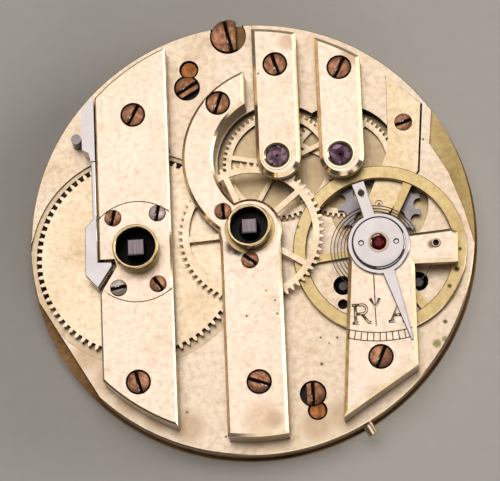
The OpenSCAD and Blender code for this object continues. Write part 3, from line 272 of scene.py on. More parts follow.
def oil_dirt_and_shade(name, dark, brown):
    """Old oil and dust in seams and engravings, and painted shade in holes, slots and counterbores: nearly
    black, with brown crumbs 0.3 mm wide.
    """
    material, shader, place = new_material(name)
    crumb = add(material, "ShaderNodeTexNoise", {"Vector": place, "Scale": per_mm(0.3), "Detail": 3.0})
    crumb_edge = add(material, "ShaderNodeMapRange", {
        "Value": crumb.outputs["Fac"], "From Min": 0.5, "From Max": 0.8})
    tone = add(material, "ShaderNodeMix", {
        0: crumb_edge.outputs["Result"], 6: linear(dark), 7: linear(brown)}, data_type="RGBA")
    bump = add(material, "ShaderNodeBump", {
        "Height": crumb.outputs["Fac"], "Strength": 0.4, "Distance": 0.03 * MM})
    gloss = add(material, "ShaderNodeMapRange", {
        "Value": crumb.outputs["Fac"], "To Min": 0.35, "To Max": 0.7})
    plug(material, shader, Base_Color=tone.outputs[2], Roughness=gloss.outputs["Result"],
         Normal=bump.outputs["Normal"])
    return material


def take(piece):
    """Selects one piece alone and makes it the active one."""
    bpy.ops.object.select_all(action="DESELECT")
    piece.select_set(True)
    bpy.context.view_layer.objects.active = piece


def dress(piece, *materials):
    """Gives a piece its materials, in the order of its slots."""
    piece.data.materials.clear()
    for material in materials:
        piece.data.materials.append(material)


def worked_copy(node, name, materials):
    """A copy of a machined piece that stands for it, its triangles merged to plain faces, ready to file."""
    source = frame["nodes"][node]
    piece = bpy.data.objects.new(name, source.data.copy())
    bpy.context.collection.objects.link(piece)
    take(piece)
    bpy.ops.mesh.customdata_custom_splitnormals_clear()
    bpy.ops.object.mode_set(mode="EDIT")
    bpy.ops.mesh.select_mode(type="EDGE")
    bpy.ops.mesh.select_all(action="SELECT")
    bpy.ops.mesh.remove_doubles(threshold=0.002 * MM)
    bpy.ops.mesh.dissolve_limited(angle_limit=math.radians(1))
    bpy.ops.mesh.select_all(action="DESELECT")
    bpy.ops.object.mode_set(mode="OBJECT")
    dress(piece, *materials)
    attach(piece, source["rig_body"])
    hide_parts(node)
    return piece


def file_edges(piece, top, width, chosen=None, steps=1, finish=-1):
    """Files the upper outline of a piece to a chamfer, or rounds it in several steps. top is the height of
    its face and width the chamfer's, in millimetres. chosen(x, y) picks edges by their middle, and finish is
    the material slot of the chamfer."""
    mesh = piece.data
    slopes = {}
    for face in mesh.polygons:
        for key in face.edge_keys:
            slopes.setdefault(key, []).append(face.normal.z)
    for edge in mesh.edges:
        a, b = (mesh.vertices[i].co / MM for i in edge.vertices)
        tilt = slopes.get(tuple(sorted(edge.vertices)), [0])
        mid = (a + b) / 2
        edge.select = (abs(a.z - top) < 0.004 and abs(b.z - top) < 0.004 and max(tilt) > 0.9
                       and min(tilt) < 0.5 and (chosen is None or chosen(mid.x, mid.y)))
    take(piece)
    bpy.ops.object.mode_set(mode="EDIT")
    bpy.ops.mesh.select_mode(type="EDGE")
    bpy.ops.mesh.bevel(offset=width * MM, segments=steps, profile=0.5, affect="EDGES", clamp_overlap=False,
                       material=finish)
    bpy.ops.mesh.select_all(action="DESELECT")
    bpy.ops.object.mode_set(mode="OBJECT")
    bpy.ops.object.shade_smooth_by_angle(angle=math.radians(25))


def spot(point):
    """Where a vertex is, in millimetres, rounded so that it can be found again."""
    return tuple(round(c / MM, 4) for c in point.co)


def chamfer(piece, top, width, rooms=(), sides=(), finish=1):
    """Files the outline of a flat top: the outline goes down by width, and the top is inset by as much and
    filled anew. The file stays out of the rooms, each (x, y, radius), but for straight sides, each a value of
    x. All are in millimetres, and finish is the material slot of the chamfer."""
    mesh = piece.data
    outline = set()
    for part in (*mesh.vertices, *mesh.edges):
        part.select = False
    for face in mesh.polygons:
        face.select = face.normal.z > 0.99 and abs(face.center.z / MM - top) < 0.004
        if face.select:
            outline.update(spot(mesh.vertices[i]) for i in face.vertices)
    take(piece)
    bpy.ops.object.mode_set(mode="EDIT")
    bpy.ops.mesh.select_mode(type="FACE")
    bpy.ops.mesh.inset(thickness=width * MM, use_boundary=True, use_even_offset=True)
    bpy.ops.mesh.delete(type="FACE")
    bpy.ops.object.mode_set(mode="OBJECT")
    pairs = []
    for edge in mesh.edges:
        ends = [mesh.vertices[i] for i in edge.vertices]
        ends.sort(key=lambda point: spot(point) in outline)
        known = [spot(point) in outline for point in ends]
        if known == [False, True] and abs(ends[0].co.z - ends[1].co.z) < 1e-7:
            pairs.append(ends)
    for inner, rim in pairs:
        straight = any(abs(rim.co.x / MM - side) < 0.02 for side in sides)
        for cx, cy, r in () if straight else rooms:
            centre = Vector((cx, cy)) * MM
            if (rim.co.xy - centre).length < r * MM:
                inner.co = rim.co
            elif (inner.co.xy - centre).length < r * MM:
                inner.co.xy = centre + (inner.co.xy - centre).normalized() * r * MM
    for inner, rim in pairs:
        if (inner.co - rim.co).length > 1e-6:
            rim.co.z = (top - width) * MM
    bpy.ops.object.mode_set(mode="EDIT")
    bpy.ops.mesh.select_all(action="SELECT")
    bpy.ops.mesh.remove_doubles(threshold=1e-6)
    bpy.ops.mesh.select_mode(type="EDGE")
    bpy.ops.mesh.select_all(action="DESELECT")
    bpy.ops.mesh.select_non_manifold()
    bpy.ops.mesh.fill(use_beauty=True)
    bpy.ops.mesh.select_all(action="SELECT")
    bpy.ops.mesh.normals_make_consistent(inside=False)
    bpy.ops.mesh.select_all(action="DESELECT")
    bpy.ops.object.mode_set(mode="OBJECT")
    for face in mesh.polygons:
        if 0.04 < face.normal.z < 0.97 and top - width < face.center.z / MM < top:
            face.material_index = finish
    bpy.ops.object.shade_smooth_by_angle(angle=math.radians(25))
    for face in mesh.polygons:
        if face.normal.z > 0.95:
            face.use_smooth = False


def blacken(piece, slot_index, holes, top):
    """Paints shade, nearly black, on the walls and floors of round holes: holes lists (x, y, radius) in
    millimetres. Walls that face away from a hole are the piece's outside and keep their own finish."""
    for face in piece.data.polygons:
        c = face.center / MM
        for x, y, r in holes:
            inward = (x - c.x) * face.normal.x + (y - c.y) * face.normal.y
            if c.z < top - 0.03 and math.dist((c.x, c.y), (x, y)) < r and inward > -0.1:
                face.material_index = slot_index


bridge_screws = [(-10.9, 12.1), (-11.2, -14.4), (-2.6, 12.8), (0.3, -15), (3.1, 16.4), (9.3, 15.7),
                 (11.95, -13.2)]
plate_marks = [(18.2, -9.5, 0.25, "#4a3820"), (17.3, -11.6, 0.5, "#8f8a52"), (18.1, -11.2, 0.35, "#8f8a52"),
               (19.9, -4.2, 0.2, "#6f5834"), (6.2, -13, 0.2, "#5a4526"), (-6.9, -17, 0.2, "#6a5230"),
               (6.2, -10.4, 0.13, "#5a4526"), (7.8, -10.5, 0.16, "#5a4526"), (7, -11, 0.1, "#5a4526")]
rim_stain_at, rim_stain_r = 19.7, 1.7
for stain_angle in (-146, -137, -128, -119, -110, -74, -66):
    a = math.radians(stain_angle)
    plate_marks.append((rim_stain_at * math.cos(a), rim_stain_at * math.sin(a), rim_stain_r, "#cfb698"))
plate_gilt = gilt_brass("frosted_gilt_plate", "#f4e4d0", "#ead6bb", "#b0906a", 0.34, "#cbb692",
                        plate_top - 0.03, plate_marks, 0.6)
crescent_gilt = gilt_brass("olive_crescent", "#bda877", "#a8915f", "#7c6438", 0.33)
flange_dirt_and_shade = gilt_brass("flange_dirt_and_painted_shade", "#8a6b48", "#62482c", "#2e2014", 0.36)
rim_tarnish_and_shade = gilt_brass("tarnished_and_shaded_rim", "#c9ab88", "#a88a68", "#5a4230", 0.3)
chamfer_gilt = filed_gilt("filed_gilt_edges", "#f0e1c4", "#c8ae86")
# Painted shade for deep holes, counterbores, ring insides and tooth gaps, and old oil along seams.
oil_and_shade_black = oil_dirt_and_shade("oil_dirt_and_shade", "#0d0a07", "#2a1c10")
plate = worked_copy("main_plate", "main_plate_turned",
                    [plate_gilt, chamfer_gilt, oil_and_shade_black, rim_tarnish_and_shade, crescent_gilt, flange_dirt_and_shade])
# Numbers of the material slots that follow the gilding
filed, shade_black, tarnish_shade_slot, crescent_olive, dirt_shade_slot = range(1, 6)
edge_r, rim_r, third_sink_r, fourth_sink_r = 21.3, 20.2, 6.9, 6.3
sink_back, crescent_x, crescent_y = 7.5, 15, 2
file_edges(plate, plate_top, 0.1, lambda x, y: math.hypot(x, y) > edge_r, finish=filed)
dog_screws = [(-5.75, 15.35), (5.25, -15.85)]
plate_holes = [(-5.5, 17.2, 1.0), (5.6, -17.5, 1.0), *((x, y, 1.33) for x, y in dog_screws),
               (8.6, -5.4, 1.0), (15.85, -5.4, 1.0), (8.5, -7.25, 0.55), (16, -7.5, 0.55),
               (*balance_axis, 0.9)]
# Painted shade: the plate's holes are painted black inside.
blacken(plate, shade_black, plate_holes, plate_top)
case_screw_at, case_screw_room = (-1.53, 20.39), 1.7
for face in plate.data.polygons:
    x, y, z = face.center / MM
    upright, level = abs(face.normal.z) < 0.3, face.normal.z > 0.9
    # Tarnish with painted shade on the upright walls of the rim.
    if upright and math.hypot(x, y) > rim_r:
        face.material_index = tarnish_shade_slot
    # Brown dirt with painted shade on the flange's top, and painted shade round the case screw's head.
    elif level and abs(z - flange_top) < 0.02 or math.dist((x, y), case_screw_at) < case_screw_room:
        face.material_index = dirt_shade_slot
    # Painted shade on the back walls of the third and fourth sinks.
    elif upright and y > sink_back and math.dist((x, y), third_axis) < third_sink_r:
        face.material_index = dirt_shade_slot
    elif upright and y > sink_back and math.dist((x, y), fourth_axis) < fourth_sink_r:
        face.material_index = shade_black
    # The sunk crescent is coloured a darker olive.
    elif level and x > crescent_x and y > crescent_y and z < plate_top - 0.1:
        face.material_index = crescent_olive

# Dial: white enamel fired on copper, face down under the plate, with black painted hours, a minute track and
# a small seconds ring. Two copper feet soldered to its back hold it.


def wear(material, *nodes):
    """Gives CAD pieces their finish."""
    for node in nodes:
        dress(frame["nodes"][node], material)


enamel, enamel_shader, enamel_place = new_material("fired_white_enamel")
enamel_cloud = add(enamel, "ShaderNodeTexNoise", {"Vector": enamel_place, "Scale": per_mm(6), "Detail": 3.0})
enamel_tone = add(enamel, "ShaderNodeMix", {
    0: enamel_cloud.outputs["Fac"], 6: linear("#f6f3ea"), 7: linear("#e9e5d8")}, data_type="RGBA")
enamel_wave = add(enamel, "ShaderNodeBump", {
    "Height": enamel_cloud.outputs["Fac"], "Strength": 0.1, "Distance": 0.05 * MM})
enamel_gloss = add(enamel, "ShaderNodeMapRange", {
    "Value": enamel_cloud.outputs["Fac"], "To Min": 0.1, "To Max": 0.24})
plug(enamel, enamel_shader, Base_Color=enamel_tone.outputs[2], Normal=enamel_wave.outputs["Normal"],
     Roughness=enamel_gloss.outputs["Result"])
enamel_shader.inputs["Coat Weight"].default_value = 0.4
wear(enamel, "dial")

print_black, print_shader, print_place = new_material("black_painted_figures")
print_wear = add(print_black, "ShaderNodeTexNoise", {
    "Vector": print_place, "Scale": per_mm(0.5), "Detail": 4.0})
print_tone = add(print_black, "ShaderNodeMix", {
    0: print_wear.outputs["Fac"], 6: linear("#15130f"), 7: linear("#2c2822")}, data_type="RGBA")
print_gloss = add(print_black, "ShaderNodeMapRange", {
    "Value": print_wear.outputs["Fac"], "To Min": 0.3, "To Max": 0.55})
plug(print_black, print_shader, Base_Color=print_tone.outputs[2], Roughness=print_gloss.outputs["Result"])


def drawn_lines(name, lines, width, height):
    """Thin strokes that lie on a surface: lines are lists of points (x, y). Each stroke is a round bead of
    this width, flattened to this height above and below the surface. All sizes are in millimetres."""
    path = bpy.data.curves.new(name, "CURVE")
    path.dimensions = "3D"
    path.bevel_depth = width / 2 * MM
    path.bevel_resolution = 1
    path.use_fill_caps = True
    for line in lines:
        spline = path.splines.new("POLY")
        spline.points.add(len(line) - 1)
        for point, (x, y) in zip(spline.points, line):
            point.co = (x * MM, y * MM, 0, 1)
    strokes = bpy.data.objects.new(name, path)
    bpy.context.collection.objects.link(strokes)
    take(strokes)
    bpy.ops.object.convert(target="MESH")
    strokes = bpy.context.object
    bpy.ops.object.mode_set(mode="EDIT")
    bpy.ops.mesh.select_all(action="SELECT")
    bpy.ops.mesh.remove_doubles(threshold=0.001 * MM)
    bpy.ops.mesh.normals_make_consistent(inside=False)
    bpy.ops.transform.resize(value=(1, 1, 2 * height / width), center_override=(0, 0, 0))
    bpy.ops.object.mode_set(mode="OBJECT")
    return strokes


def ring_line(x, y, radius, start=0.0, stop=360.0):
    """Points along an arc, in millimetres and degrees."""
    steps = max(8, round(abs(stop - start) / 3))
    angles = [math.radians(start + (stop - start) * i / steps) for i in range(steps + 1)]
    return [(x + radius * math.cos(a), y + radius * math.sin(a)) for a in angles]


def ray_line(x, y, inner, outer, angle):
    """The two ends of a short line that points away from (x, y), in millimetres and degrees."""
    a = math.radians(angle)
    return [(x + r * math.cos(a), y + r * math.sin(a)) for r in (inner, outer)]


def lay(strokes, top, material, body):
    """Lays strokes on a surface at the height top, in millimetres, in their material."""
    strokes.data.transform(Matrix.Translation((0, 0, top * MM)))
    dress(strokes, material)
    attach(strokes, body)


twelve_at, track_in, track_out, hours_at, hour_size, print_depth = 217.9, 19.3, 20.1, 16.9, 3.4, 0.003
seconds_in, seconds_out, quarter_in = 4.15, 4.6, 3.8
track = [ring_line(0, 0, track_out), ring_line(0, 0, track_in), ring_line(*fourth_axis, seconds_out),
         ring_line(*fourth_axis, seconds_in)]
for minute in range(60):
    angle = twelve_at + 6 * minute
    track.append(ray_line(0, 0, track_in, track_out, angle))
    if minute % 5 == 0:
        tick_in = quarter_in if minute % 15 == 0 else seconds_in
        track.append(ray_line(*fourth_axis, tick_in, seconds_out, angle))
figures = drawn_lines("dial_figures", track, 0.09, print_depth)
for hour, numeral in enumerate(("XII", "I", "II", "III", "IIII", "V", "VI", "VII", "VIII", "IX", "X", "XI")):
    if numeral == "VI":
        continue
    bpy.ops.object.text_add()
    text = bpy.context.object
    text.data.body = numeral
    text.data.size = hour_size * MM
    text.data.align_x, text.data.align_y = "CENTER", "CENTER"
    text.data.extrude = print_depth * MM
    bpy.ops.object.convert(target="MESH")
    text = bpy.context.object
    hour_turn = Matrix.Rotation(math.radians(twelve_at + 30 * hour - 90), 4, "Z")
    text.data.transform(hour_turn @ Matrix.Translation((0, hours_at * MM, 0))
                        @ Matrix.Rotation(math.pi, 4, "Y"))
    figures.select_set(True)
    bpy.context.view_layer.objects.active = figures
    bpy.ops.object.join()
lay(figures, 0, print_black, frame["nodes"]["dial"]["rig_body"])

# Screws and dial feet: hardened steel screws that have gone brown, with painted shade in their slots and
# round their heads. Two dog screws grip the dial's soft copper feet, and the case screw's head overhangs the
# rim.


def screw_steel(name, bright, brown, top):
    """Hardened steel tempered brown and rusted a little: copper-coloured patches 0.6 mm wide, fine turning
    marks, and painted shade that turns black from 0.07 mm below the top of the head, in the slot and
    round the rim. top is in millimetres."""
    material, shader, place = new_material(name)
    patch = add(material, "ShaderNodeTexNoise", {
        "Vector": place, "Scale": per_mm(0.6), "Detail": 4.0, "Roughness": 0.6})
    patch_edge = add(material, "ShaderNodeMapRange", {
        "Value": patch.outputs["Fac"], "From Min": 0.35, "From Max": 0.65})
    tone = add(material, "ShaderNodeMix", {
        0: patch_edge.outputs["Result"], 6: linear(bright), 7: linear(brown)}, data_type="RGBA").outputs[2]
    # Painted shade: black from 0.07 mm below the top down to 0.2 mm below it.
    height = add(material, "ShaderNodeSeparateXYZ", {"Vector": place}).outputs["Z"]
    depth = add(material, "ShaderNodeMapRange", {
        "Value": height, "From Min": (top - 0.2) * MM, "From Max": (top - 0.07) * MM, "To Min": 1.0,
        "To Max": 0.0})
    tone = add(material, "ShaderNodeMix", {
        0: depth.outputs["Result"], 6: tone, 7: linear("#120c08")}, data_type="RGBA").outputs[2]
    gloss = add(material, "ShaderNodeMapRange", {
        "Value": patch.outputs["Fac"], "From Min": 0.3, "From Max": 0.7, "To Min": 0.22, "To Max": 0.42})
    turning = add(material, "ShaderNodeTexNoise", {"Vector": place, "Scale": per_mm(0.12), "Detail": 2.0})
    bump = add(material, "ShaderNodeBump", {
        "Height": turning.outputs["Fac"], "Strength": 0.2, "Distance": 0.01 * MM})
    plug(material, shader, Base_Color=tone, Roughness=gloss.outputs["Result"], Normal=bump.outputs["Normal"])
    shader.inputs["Metallic"].default_value = 1.0
    return material


# Pale steel for the slot walls and for the painted highlights along the slots' edges.
slot_steel_and_highlight = screw_steel("slot_steel_and_painted_highlight", "#e6e0da", "#a89a90", 0)


def eased_screws(node, places, slots, reach, pale=()):
    """Slotted screws with the edges of their heads eased by 0.07 mm. places lists their axes, slots the
    angles of their slots, and pale those that have kept a grey steel colour. A painted highlight lies along
    one edge of each slot over reach millimetres."""
    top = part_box(node)[1].z / MM
    brown_steel = screw_steel(node + "_brown_steel", "#b98768", "#865c46", top)
    kept_grey = screw_steel(node + "_grey_steel", "#c4b8b4", "#93857f", top)
    screws = worked_copy(node, node + "_eased", [brown_steel, slot_steel_and_highlight, kept_grey])
    bare, grey = 1, 2
    slot_half, highlight_width, highlight_height = 0.16, 0.13, 0.006
    file_edges(screws, top, 0.07, steps=2)
    for face in screws.data.polygons:
        here = (face.center.x / MM, face.center.y / MM)
        axis = min(places, key=lambda place: math.dist(place, here))
        if abs(face.normal.z) < 0.2 and math.dist(axis, here) < 0.3 and face.center.z / MM > top - 0.3:
            face.material_index = bare
        elif axis in pale:
            face.material_index = grey
    # Painted highlights: pale steel strokes along one edge of each slot.
    glints = []
    for (x, y), slot_angle in zip(places, slots):
        along = Vector((math.cos(math.radians(slot_angle)), math.sin(math.radians(slot_angle))))
        along = -along if along.y > 0 else along
        edge = Vector((x, y)) + slot_half * Vector((along.y, -along.x))
        glints.append([tuple(edge - 0.15 * reach * along), tuple(edge + reach * along)])
    slot_highlight = drawn_lines(node + "_slot_highlight", glints, highlight_width, highlight_height)
    lay(slot_highlight, top, slot_steel_and_highlight, frame["nodes"][node]["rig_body"])


setting_screws = [(-2.5, 1.9), (-0.1, -3.05)]
cap_screws = [(-13.15, 1.85), (-8.85, 2.1), (-12.8, -5.1), (-9, -4.9)]
eased_screws("dial_foot_screws", dog_screws, (30, 90), 0.7)
eased_screws("case_screw", [case_screw_at], [102], 1.3)
eased_screws("escape_cock_screw", [(15.2, 10.6)], [17], 0.5)
eased_screws("bridge_screws", bridge_screws, (61, -76, 70, -21, 106, 63, 65), 0.85)
eased_screws("setting_ring_screws", setting_screws, (92, -40), 0.5)
eased_screws("barrel_cap_screws", cap_screws, (75, 78, 10, -58), 0.6, cap_screws[1:3])
foot_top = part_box("dial_feet")[1].z / MM
# The dial feet take the same painted shade, black from 0.12 mm below their tops.
foot_copper = screw_steel("bare_copper", "#a66d42", "#7e4c2b", foot_top - 0.05)
wear(foot_copper, "dial_feet")

# Steel pieces: hardened, ground flat and polished on a tin block, so that they are nearly white with hair
# scratches. Pinions and posts are plain grey, the ratchet is black with oil, and hidden springs and screws
# are dark.


def polished_steel(name, pale, grey, rough):
    """Hardened steel polished on a tin block: nearly white, with haze 1.5 mm wide and hair scratches 0.12 mm
    apart."""
    material, shader, place = new_material(name)
    haze = add(material, "ShaderNodeTexNoise", {"Vector": place, "Scale": per_mm(1.5), "Detail": 4.0})
    tone = add(material, "ShaderNodeMix", {
        0: haze.outputs["Fac"], 6: linear(pale), 7: linear(grey)}, data_type="RGBA")
    hair_map = add(material, "ShaderNodeMapping", {
        "Vector": place, "Rotation": (0, 0, 0.6), "Scale": (1.0, 0.06, 1.0)})
    hair = add(material, "ShaderNodeTexNoise", {"Vector": hair_map.outputs["Vector"], "Scale": per_mm(0.12)})
    bump = add(material, "ShaderNodeBump", {
        "Height": hair.outputs["Fac"], "Strength": 0.1, "Distance": 0.006 * MM})
    gloss = add(material, "ShaderNodeMapRange", {
        "Value": haze.outputs["Fac"], "To Min": rough, "To Max": rough + 0.1})
    plug(material, shader, Base_Color=tone.outputs[2], Roughness=gloss.outputs["Result"],
         Normal=bump.outputs["Normal"])
    shader.inputs["Metallic"].default_value = 1.0
    return material


bright_steel = polished_steel("polished_steel", "#c9c5c6", "#b3b0b2", 0.12)
grey_steel = polished_steel("plain_grey_steel", "#a5a0a3", "#7d787c", 0.26)
dark_steel = polished_steel("dry_dark_steel", "#7a7476", "#3c393b", 0.3)
wear(bright_steel, "click_spring", "minute_stud")
wear(polished_steel("oiled_black_steel", "#2b2727", "#131111", 0.4), "ratchet_wheel")
wear(grey_steel, "click_post", "centre_pinion", "cannon_pinion", "third_pinion", "fourth_pinion",
     "escape_pinion", "balance_staff")
wear(dark_steel, "chariot_screws", "mainspring")

# Barrel bridge and its cap: a wide bar of gilt brass stoned flat, with filed edges and a round cap let in
# over the ratchet. Four small screws hold the cap, and a steel click reaches in from the left.
bar_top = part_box("balance_cock")[1].z / MM
# The brown mark at (17.35, -2.5), left of the hairspring stud, is a painted shadow.
bar_marks = [(2.15, -7.17, 0.12, "#2e2216"), (1.32, -6.16, 0.1, "#2e2216"), (2.3, -8.47, 0.12, "#2e2216"),
             (-1.65, -1.65, 0.9, "#1c140d"), (-1.1, -2.0, 0.75, "#1c140d"), (17.35, -2.5, 0.5, "#7a5a38"),
             (0.4, -18.5, 1.9, "#dfc6aa"), (1.6, -18.7, 1, "#cdb096"), (4.4, 18.6, 1, "#d2b79c"),
             (10.6, 16.9, 1.3, "#cbb092"), (11.4, -17.2, 1.6, "#e0cab2")]
bar_gilt = gilt_brass("stoned_gilt_bars", "#f6e6d5", "#efdcc6", "#c3a67c", 0.31, spots=bar_marks)
screw_room, cap_room, cap_r = 1.25, 5.2, 4.97
screw_rooms = [(x, y, screw_room) for x, y in bridge_screws]
barrel_bar = worked_copy("barrel_bridge", "barrel_bridge_filed", [bar_gilt, chamfer_gilt, oil_and_shade_black])
bar_low, bar_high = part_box("barrel_bridge")
bar_sides = (bar_low.x / MM, bar_high.x / MM)
chamfer(barrel_bar, bar_top, 0.16, [(*barrel_axis, cap_room), *screw_rooms], bar_sides)
# Painted shade in the counterbores of the screws.
blacken(barrel_bar, shade_black, screw_rooms, bar_top)
cap_low, cap_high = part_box("barrel_cap")
cap_left, cap_right = cap_low.x / MM, cap_high.x / MM
cap = worked_copy("barrel_cap", "barrel_cap_filed", [bar_gilt, chamfer_gilt])
file_edges(cap, bar_top, 0.16, lambda x, y: min(abs(x - cap_left), abs(x - cap_right)) < 0.02,
           finish=filed)
cap_seam = [ring_line(*barrel_axis, cap_r, 49, 138), ring_line(*barrel_axis, cap_r, -49, -127)]
lay(drawn_lines("barrel_cap_seam", cap_seam, 0.09, 0.004), bar_top, oil_and_shade_black, "movement")

# Rings round the two squares: turned gold-coloured brass, rounded at the lip, and painted black inside as
# shade. The dark steel squares in them take the key.
ring_gold = gilt_brass("turned_gold_brass", "#e6d2a4", "#cdb07a", "#8a6c40", 0.2)
for ring, axis in (("winding_ring", barrel_axis), ("setting_ring", (0, 0))):
    ring_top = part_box(ring)[1].z / MM
    lip = worked_copy(ring, ring + "_rounded", [ring_gold, oil_and_shade_black])
    ring_shade = 1
    file_edges(lip, ring_top, 0.12, steps=3)
    # Painted shade: the ring's inner walls below the lip are painted black.
    for face in lip.data.polygons:
        inward = Vector((axis[0] - face.center.x / MM, axis[1] - face.center.y / MM, 0))
        if face.center.z / MM < ring_top - 0.15 and face.normal.dot(inward) > 0.2:
            face.material_index = ring_shade


def square_steel(name, top):
    """Square-filed steel, grey and scratched on the top, with painted shade below it. top is in millimetres.
    """
    material, shader, place = new_material(name)
    scratch_map = add(material, "ShaderNodeMapping", {
        "Vector": place, "Rotation": (0, 0, 0.9), "Scale": (1.0, 0.1, 1.0)})
    scratch = add(material, "ShaderNodeTexNoise", {
        "Vector": scratch_map.outputs["Vector"], "Scale": per_mm(0.2), "Detail": 4.0})
    tone = add(material, "ShaderNodeMix", {
        0: scratch.outputs["Fac"], 6: linear("#a79ca0"), 7: linear("#6b6266")},
        data_type="RGBA").outputs[2]
    # Painted shade: black below the top of the square.
    height = add(material, "ShaderNodeSeparateXYZ", {"Vector": place}).outputs["Z"]
    depth = add(material, "ShaderNodeMapRange", {
        "Value": height, "From Min": (top - 0.3) * MM, "From Max": (top - 0.02) * MM, "To Min": 1.0,
        "To Max": 0.0})
    tone = add(material, "ShaderNodeMix", {
        0: depth.outputs["Result"], 6: tone, 7: linear("#0b090a")}, data_type="RGBA").outputs[2]
    bump = add(material, "ShaderNodeBump", {
        "Height": scratch.outputs["Fac"], "Strength": 0.35, "Distance": 0.015 * MM})
    gloss = add(material, "ShaderNodeMapRange", {
        "Value": scratch.outputs["Fac"], "To Min": 0.3, "To Max": 0.5})
    plug(material, shader, Base_Color=tone, Roughness=gloss.outputs["Result"], Normal=bump.outputs["Normal"])
    shader.inputs["Metallic"].default_value = 1.0
    return material


for arbor in ("barrel_arbor", "setting_arbor"):
    arbor_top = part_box(arbor)[1].z / MM
    square = worked_copy(arbor, arbor + "_filed", [square_steel(arbor + "_steel", arbor_top)])
    file_edges(square, arbor_top, 0.12)

# Click: one piece of spring steel, its foot screwed to the plate from below and its polished head against the
# ratchet.
click_head = worked_copy("click", "click_eased", [bright_steel])
chamfer(click_head, bar_top, 0.06, finish=0)

# Centre bridge, third and fourth cocks: gilt bars with filed edges. The two cocks carry violet jewels set in
# gold rings, and the balance's rubies are cut and polished in the same way.
centre_bar = worked_copy("centre_bridge", "centre_bridge_filed", [bar_gilt, chamfer_gilt, oil_and_shade_black])
ring_room, ring_hole, small_room, jewel_room = 2.6, 1.9, 1, 1.6
centre_rooms = [(0, 0, ring_room), (*setting_screws[1], small_room), (*setting_screws[0], small_room)]
chamfer(centre_bar, bar_top, 0.28, centre_rooms + screw_rooms)
# Painted shade in the counterbores and round the setting ring.
blacken(centre_bar, shade_black, screw_rooms, bar_top)
blacken(centre_bar, shade_black, [(0, 0, ring_hole)], bar_top + 1)
for train_cock, jewel_at in (("third_cock", third_axis), ("fourth_cock", fourth_axis)):
    bar = worked_copy(train_cock, train_cock + "_filed", [bar_gilt, chamfer_gilt, oil_and_shade_black])
    chamfer(bar, bar_top, 0.36, [(*jewel_at, jewel_room), *screw_rooms])
    # Painted shade in the counterbores of the screws.
    blacken(bar, shade_black, screw_rooms, bar_top)
wear(gilt_brass("pale_gold_setting", "#f4e6ca", "#e4cfa6", "#a98a5c", 0.14), "jewel_settings")


def cut_stone(name, bright, deep, facet):
    """A polished stone in its setting: deep colour broken by facets of light, under a glassy surface.
    facet is the width of one patch of light in millimetres."""
    material, shader, place = new_material(name)
    light = add(material, "ShaderNodeTexVoronoi", {"Vector": place, "Scale": per_mm(facet)})
    pick = add(material, "ShaderNodeSeparateColor", {"Color": light.outputs["Color"]})
    strength = add(material, "ShaderNodeMath", {0: pick.outputs["Red"], 1: 2.0}, operation="POWER")
    tone = add(material, "ShaderNodeMix", {
        0: strength.outputs["Value"], 6: linear(deep), 7: linear(bright)}, data_type="RGBA")
    flaw = add(material, "ShaderNodeTexNoise", {"Vector": place, "Scale": per_mm(0.4)})
    bump = add(material, "ShaderNodeBump", {
        "Height": flaw.outputs["Fac"], "Strength": 0.1, "Distance": 0.02 * MM})
    plug(material, shader, Base_Color=tone.outputs[2], Normal=bump.outputs["Normal"])
    shader.inputs["Roughness"].default_value = 0.06
    shader.inputs["IOR"].default_value = 1.76
    shader.inputs["Specular IOR Level"].default_value = 0.1
    return material


violet_stone = cut_stone("violet_garnet", "#e0b8cb", "#5e3850", 0.45)
ruby_stone = cut_stone("dark_ruby", "#d01420", "#4a050c", 0.5)
wear(ruby_stone, "upper_balance_jewel", "lower_balance_jewel")
for stone, finish, dome in (("endstone", ruby_stone, 0.25), ("train_jewels", violet_stone, 0.2)):
    domed = worked_copy(stone, stone + "_domed", [finish])
    file_edges(domed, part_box(stone)[1].z / MM, dome, steps=5)

# Wheels and small brass: cut from rolled brass, the wheels crossed out by hand and polished on their faces.
# They are a little yellower than the bars, and painted shade lies on the plate under the barrel's teeth.
wheel_brass = gilt_brass("polished_wheel_brass", "#ecdbc3", "#dcc7a6", "#987c54", 0.26)
wear(wheel_brass, "barrel_drum", "barrel_cover", "centre_wheel", "third_wheel", "fourth_wheel", "collet",
     "case_pin", "chariot", "minute_wheel", "hour_wheel", "dial_washer", "curb_pins")
# Painted shade: a dark band on the plate under the barrel's teeth, seen through the tooth gaps.
tooth_gap_shade_r, tooth_gap_shade_shift = 9.85, 0.2
tooth_gap_shade = [ring_line(barrel_axis[0], barrel_axis[1] + tooth_gap_shade_shift, tooth_gap_shade_r, 20, 205)]
lay(drawn_lines("barrel_tooth_gap_shade", tooth_gap_shade, 0.5, 0.01), plate_top - 0.25, oil_and_shade_black, "movement")

# Escape wheel: thin grey steel for a cylinder escapement. The gaps between its teeth are round, cut with a
# fly cutter in the dividing engine, and it is riveted to its pinion.
wheel_low, wheel_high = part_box("escape_wheel")
pinion_low, pinion_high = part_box("escape_pinion")
escape_mid = (pinion_low + pinion_high) / 2
escape_tip = wheel_high.x - escape_mid.x
escape_height = wheel_high.z - wheel_low.z
escape_level = (wheel_low.z + wheel_high.z) / 2
tooth_gap, tooth_gap_at, escape_teeth = 0.56 * MM, escape_tip - 0.2 * MM, 15
bpy.ops.object.select_all(action="DESELECT")
bpy.ops.mesh.primitive_cylinder_add(vertices=120, radius=escape_tip - 0.01 * MM, depth=escape_height,
                                    location=(escape_mid.x, escape_mid.y, escape_level))
escape_blank = bpy.context.object
escape_blank.name = "escape_wheel_cut"
bpy.ops.object.transform_apply(location=True)
cuts = [(tooth_gap_at, tooth_gap, 360 / escape_teeth * i) for i in range(escape_teeth)]
cuts += [(0.5 * escape_tip, 0.27 * escape_tip, 45 + 90 * i) for i in range(4)] + [(0, 0.3 * MM, 0)]
